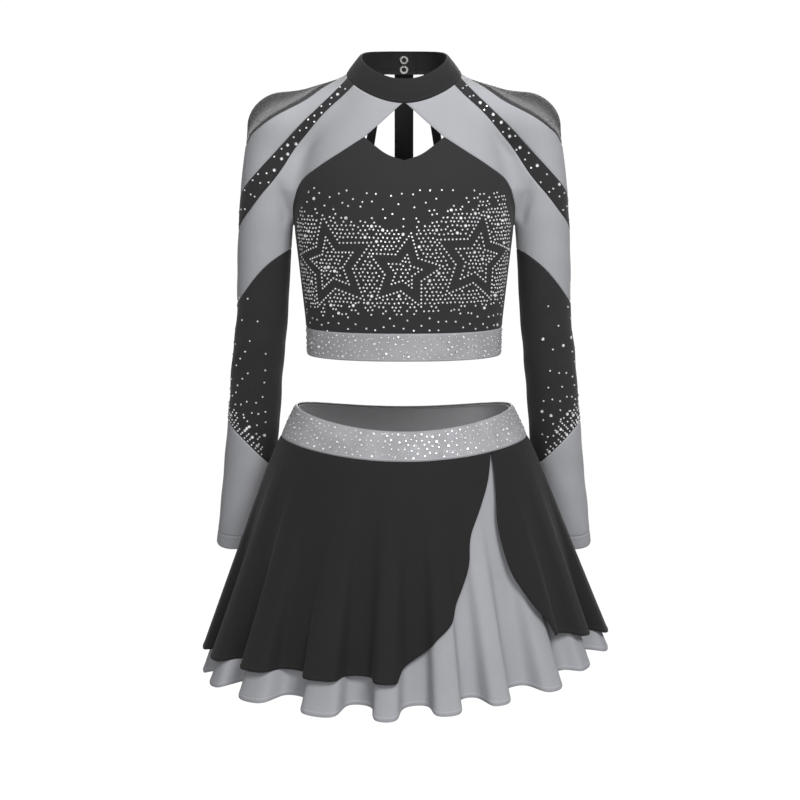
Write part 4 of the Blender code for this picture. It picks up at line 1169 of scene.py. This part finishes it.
def add_gems(name, points, normals, radii, paint, body, bend=None):
    """Many stones as one mesh, each turned its own way and tilted a little, as pressed stones are."""
    shape, faces = gem_shape()
    count, table_faces = len(points), GEM_SIDES - 2
    spin = rng.uniform(0, math.pi / 4, count)[:, None]
    tilt = unit(normals + rng.normal(0, TILT, (count, 3)))
    across = unit(np.cross(tilt, (0.01, 0.01, 1.01)))
    first = across * np.cos(spin) + np.cross(tilt, across) * np.sin(spin)
    axes = np.stack([first, np.cross(tilt, first), tilt], 1)
    placed = points[:, None] + (shape[None] * radii[:, None, None]) @ axes
    every = (faces[None] + (np.arange(count) * len(shape))[:, None, None]).reshape(-1, 3)
    made = new_object(name, placed.reshape(-1, 3), every, paint)
    made.data.shade_flat()
    # Painted glints: random painted light and shade on the side facets, and a bright painted highlight on
    # each table.
    sides = rng.uniform(0, 0.5, (count, len(faces) - table_faces))
    spark = np.hstack([sides, np.repeat(rng.uniform(0.6, 1, (count, 1)), table_faces, 1)]).ravel()
    made.data.attributes.new("spark", "FLOAT", "FACE").data.foreach_set("value", spark.astype(np.float32))
    place(made, [], paint, body, bend)


def sizes_for(count, large_share, source):
    """A random size for each stone, from a generator or a seed."""
    return np.where(np.random.default_rng(source).uniform(0, 1, count) < large_share, LARGE, SMALL)


def free(points, spot, gap):
    """Whether no point is nearer to the spot than the gap."""
    return not points or ((np.array(points) - spot) ** 2).sum(1).min() >= gap * gap


def apart(points, kept, gap):
    """The points kept so far, and each new one in turn that is no nearer to another than the gap."""
    kept = list(kept)
    for p in points:
        if free(kept, p, gap):
            kept.append(tuple(p))
    return kept


def scattered(area, spacing, tries, seed, kept=()):
    """Points in a rectangle, none nearer to another than the spacing there, which may depend on the place.
    Where the spacing is None there are none."""
    local = np.random.default_rng(seed)
    points = list(kept)
    for x, y in zip(*(local.uniform(low, high, tries) for low, high in area)):
        need = spacing(x, y) if callable(spacing) else spacing
        if need is not None and free(points, (x, y), need):
            points.append((x, y))
    return np.array(points)


def on_cloth(p):
    normal = form_normal(p)
    return dressed(p, normal) + normal * GLUE, normal


STARS = [(-89, -206, 45, 10), (0, -213, 33, -10), (88, -200, 43, -8)]  # place, height, radius and lean
STAR_WAIST = 0.5  # radius of the inner corners as a share of the outer radius
OUTER_PUSH, INNER_PUSH = 2.26, 1.13  # how far the corners move out for each millimetre that the sides do
STROKE = 4.0  # half width of the bare line that draws each star
ROW_GAP = 1.6  # from the bare line to the middle of the row of stones beside it
ROW_STEP, FIELD_STEP, FIELD_RISE = 4.6, 5.2, 4.5  # spacing along a row, and in the field round the stars
# Where the stones are dense: across the chest, the middle height there and half the height
FIELD = ((-150, -95, 0, 95, 150), (-203, -203, -212, -192, -192), (44, 48, 36, 52, 50))
FIELD_FADE = 13  # over about this far the field thins out
LOOSE_AREA, LOOSE_GAP = ((-150, 150), (-283, -118)), 9.5  # single stones above and below the field
CHEST_HEIGHTS, CHEST_HALF_WIDTHS = [-290, -222, -160, -130], [112, 121, 126, 118]


def star_outline(x, z, radius, lean, off=0.0):
    """A five-pointed star, as a closed line moved outwards by a distance square to its sides."""
    corners = []
    for k in range(11):
        far = radius * STAR_WAIST + INNER_PUSH * off if k % 2 else radius + OUTER_PUSH * off
        a = math.radians(90 + 36 * k + lean)
        corners.append((x + far * math.cos(a), z + far * math.sin(a)))
    return np.array(corners)


def segment_distance(p, line):
    best = np.full(len(p), 1e9)
    for a, b in zip(line, line[1:]):
        best = np.minimum(best, length(p - (a + share_along(p, a, b)[:, None] * (b - a))))
    return best


def spaced(line, spacing):
    """Points along a closed line, with one on each corner and the rest evenly between."""
    points = []
    for a, b in zip(line, line[1:]):
        count = max(int(round(np.linalg.norm(b - a) / spacing)), 1)
        points += [a + (b - a) * k / count for k in range(count)]
    return np.array(points)


def chest_layout():
    """Places of the chest stones, as arc length from the centre front and height, and how many edge the
    stars: bare outlines edged with rows of stones, in a field that thins out above and below."""
    off = STROKE + ROW_GAP
    rows = [spaced(star_outline(*star, way * off), ROW_STEP) for star in STARS for way in (1, -1)]
    edging = apart(np.vstack(rows), [], 0.82 * ROW_STEP)
    local = np.random.default_rng(5)
    across, up = np.arange(-152, 152, FIELD_STEP), np.arange(-286, -112, FIELD_RISE)
    grid = np.array([(x + (row % 2) * FIELD_STEP / 2, z) for row, z in enumerate(up) for x in across])
    grid = grid + local.normal(0, 0.45, grid.shape)
    near = np.min([segment_distance(grid, star_outline(*star)) for star in STARS], axis=0)
    middle, half = (np.interp(grid[:, 0], FIELD[0], FIELD[k]) for k in (1, 2))
    past = np.maximum(np.abs(grid[:, 1] - middle) - half, 0) / FIELD_FADE
    dense = local.uniform(0, 1, len(grid)) < np.exp(-past ** 1.5)
    kept = apart(grid[(near > off + 0.4 * ROW_STEP) & dense], edging, 0.78 * ROW_STEP)
    return scattered(LOOSE_AREA, LOOSE_GAP, tries=2500, seed=6, kept=kept), len(edging)


def chest_points(layout):
    """The layout wrapped round the front of the bodice."""
    ring = torso_ring(-200, 400, True)
    run = run_along(ring)
    run = run[-1] / 2 - run
    order = np.argsort(run)
    x, y = (np.interp(layout[:, 0], run[order], ring[order, k]) for k in (0, 1))
    return on_form(np.stack([x, y, layout[:, 1]], -1))


def add_chest_stones():
    layout, edging = chest_layout()
    p = chest_points(layout)
    inside = np.abs(p[:, 0]) < np.interp(p[:, 2], CHEST_HEIGHTS, CHEST_HALF_WIDTHS)
    radii = sizes_for(len(layout), 0.055, 8)
    radii[:edging] = SMALL
    add_gems("chest_stones", *on_cloth(p[inside]), radii[inside], "crystal", "crop_top")


STRIPE_RUN, STRIPE_WIDTH = 390.0, 24.4  # the black stripe laid out flat
STRIPE_ENDS, STRIPE_ACROSS = 8, (3.4, 21)  # room kept at its ends, and where the stones lie across it
STRIPE_EDGE, STRIPE_NARROWEST = 3.2, 7.5  # room kept beside its seams, and where it is too narrow for stones
STRIPE_GAP = 9.3  # least distance between its stones


def add_stripe_stones(side, word, low_seam, top_seam):
    """Stones down the black stripe, over the front and the back."""
    area = (STRIPE_ENDS, STRIPE_RUN - STRIPE_ENDS), STRIPE_ACROSS
    layout = scattered(area, STRIPE_GAP, tries=1500, seed=31 + side)
    at = layout[:, 0] / STRIPE_RUN * (len(low_seam) - 1)
    low, top = taken(low_seam, at), taken(top_seam, at)
    width = length(top - low)
    share = np.clip(layout[:, 1] / STRIPE_WIDTH, STRIPE_EDGE / width, 1 - STRIPE_EDGE / width)[:, None]
    p = on_form(low * (1 - share) + top * share)[width > STRIPE_NARROWEST]
    radii = sizes_for(len(p), 0.24, 30 + side)
    add_gems(f"{word}_stripe_stones", *on_cloth(mirrored(p, side)), radii, "crystal", *arm(side, word))


ARM_ROWS, ARM_ROW_START, ARM_ROW_RISE = 6, 3.6, 4.7  # rows of stones above the slanted seam
ARM_ROW_TURNS, ARM_ROW_GAP = (-118, 62), 8.6  # degrees
ARM_SPREAD = 0.55  # millimetres round the sleeve for each degree
ARM_AREA, ARM_SHIFT = ((-70, 40), (24, 175)), 5  # single stones: millimetres round and up, and a turn


def arm_spacing(along_, rise):
    """The single stones above the rows thin out upwards, towards the outside of the arm."""
    outside = abs(along_ / ARM_SPREAD + 28) > 95 - 0.16 * rise
    return None if rise < 28 or outside else 6.0 + 0.085 * rise


def add_sleeve_stones(side, word):
    """Dense rows just above the slanted seam on the outside of the forearm, thinning out upwards."""
    local = np.random.default_rng(50 + side)
    turns, heights = [], []
    for row in range(ARM_ROWS):
        for turn in np.arange(*ARM_ROW_TURNS, ARM_ROW_GAP) + ARM_ROW_GAP / 2 * (row % 2):
            if local.uniform() < 1 - 0.13 * row:
                turns.append(turn + local.normal(0, 0.5))
                heights.append(lower_line(turn) + ARM_ROW_START + ARM_ROW_RISE * row + local.normal(0, 0.25))
    more = scattered(ARM_AREA, arm_spacing, tries=1600, seed=60 + side)
    more_turns = more[:, 0] / ARM_SPREAD - ARM_SHIFT
    turns, heights = np.r_[turns, more_turns], np.r_[heights, lower_line(more_turns) + more[:, 1]]
    p = on_form(sleeve_point(turns, heights))
    radii = sizes_for(len(p), 0.14, local)
    add_gems(f"{word}_sleeve_stones", *on_cloth(mirrored(p, side)), radii, "crystal", *arm(side, word))


# Room kept at the top and the bottom of each band, and the gap between its stones
HEM_BAND_ROOM, HEM_BAND_GAP = 3.5, 5.6
WAISTBAND_ROOM, WAISTBAND_GAP, WAISTBAND_DEEP = 4, 6.1, 42
HEM_BAND_END, WAISTBAND_END = 4, 5  # room kept where a band's layout meets itself


def add_hem_band_stones():
    deep = HEM_TOP - HEM_BOTTOM
    ring = hoop(HEM_TOP, HEM_BOTTOM, 200, 1)
    run = run_along(ring[:, 0])
    area = (0, run[-1] - HEM_BAND_END), (HEM_BAND_ROOM, deep - HEM_BAND_ROOM)
    layout = scattered(area, HEM_BAND_GAP, tries=6500, seed=70)
    at = np.interp(layout[:, 0], run, np.arange(len(run)))
    share = layout[:, 1:] / deep
    p = on_form(taken(ring[:, 0], at) * (1 - share) + taken(ring[:, 1], at) * share)
    radii = sizes_for(len(p), 0.16, 9) * BAND_STONE
    add_gems("hem_band_stones", *on_cloth(p), radii, "band_crystal", "crop_top")


def add_waistband_stones():
    turns = np.linspace(0, 360, 721)
    run = run_along(waist_point(turns, 0.5))
    area = (0, run[-1] - WAISTBAND_END), (WAISTBAND_ROOM, WAISTBAND_DEEP - WAISTBAND_ROOM)
    layout = scattered(area, WAISTBAND_GAP, tries=7500, seed=71)
    turn, drop = np.interp(layout[:, 0], run, turns), layout[:, 1] / WAISTBAND_DEEP
    p = waist_point(turn, drop)
    step = waist_point(turn + 0.5, drop) - waist_point(turn - 0.5, drop)
    lean = waist_point(turn, drop + 0.02) - waist_point(turn, drop - 0.02)
    normal = np.cross(lean, step)
    normal = unit(normal * np.sign((normal * p * (1, 1, 0)).sum(-1, keepdims=True)))
    p = p + normal * (BAND_BULGE * np.sin(np.pi * drop)[:, None] + GLUE)
    add_gems("waistband_stones", p, normal, sizes_for(len(p), 0.2, 10) * BAND_STONE, "band_crystal", "skirt")


# ---------------------------------------------------------------- the whole uniform


def add_sides():
    raglans = raglan_grid(True), raglan_grid(False)
    for side, word in SIDES:
        stripe_seams = add_yoke(side, word)
        add_sleeve(side, word, raglans)
        add_stripe_stones(side, word, *stripe_seams)
        add_sleeve_stones(side, word)


add_camera()
add_surround()
add_lights()
add_neckband()
paint_snaps()
add_bodice()
add_straps()
add_hem_band()
add_sides()
add_skirt()
add_waistband()
add_chest_stones()
add_hem_band_stones()
add_waistband_stones()
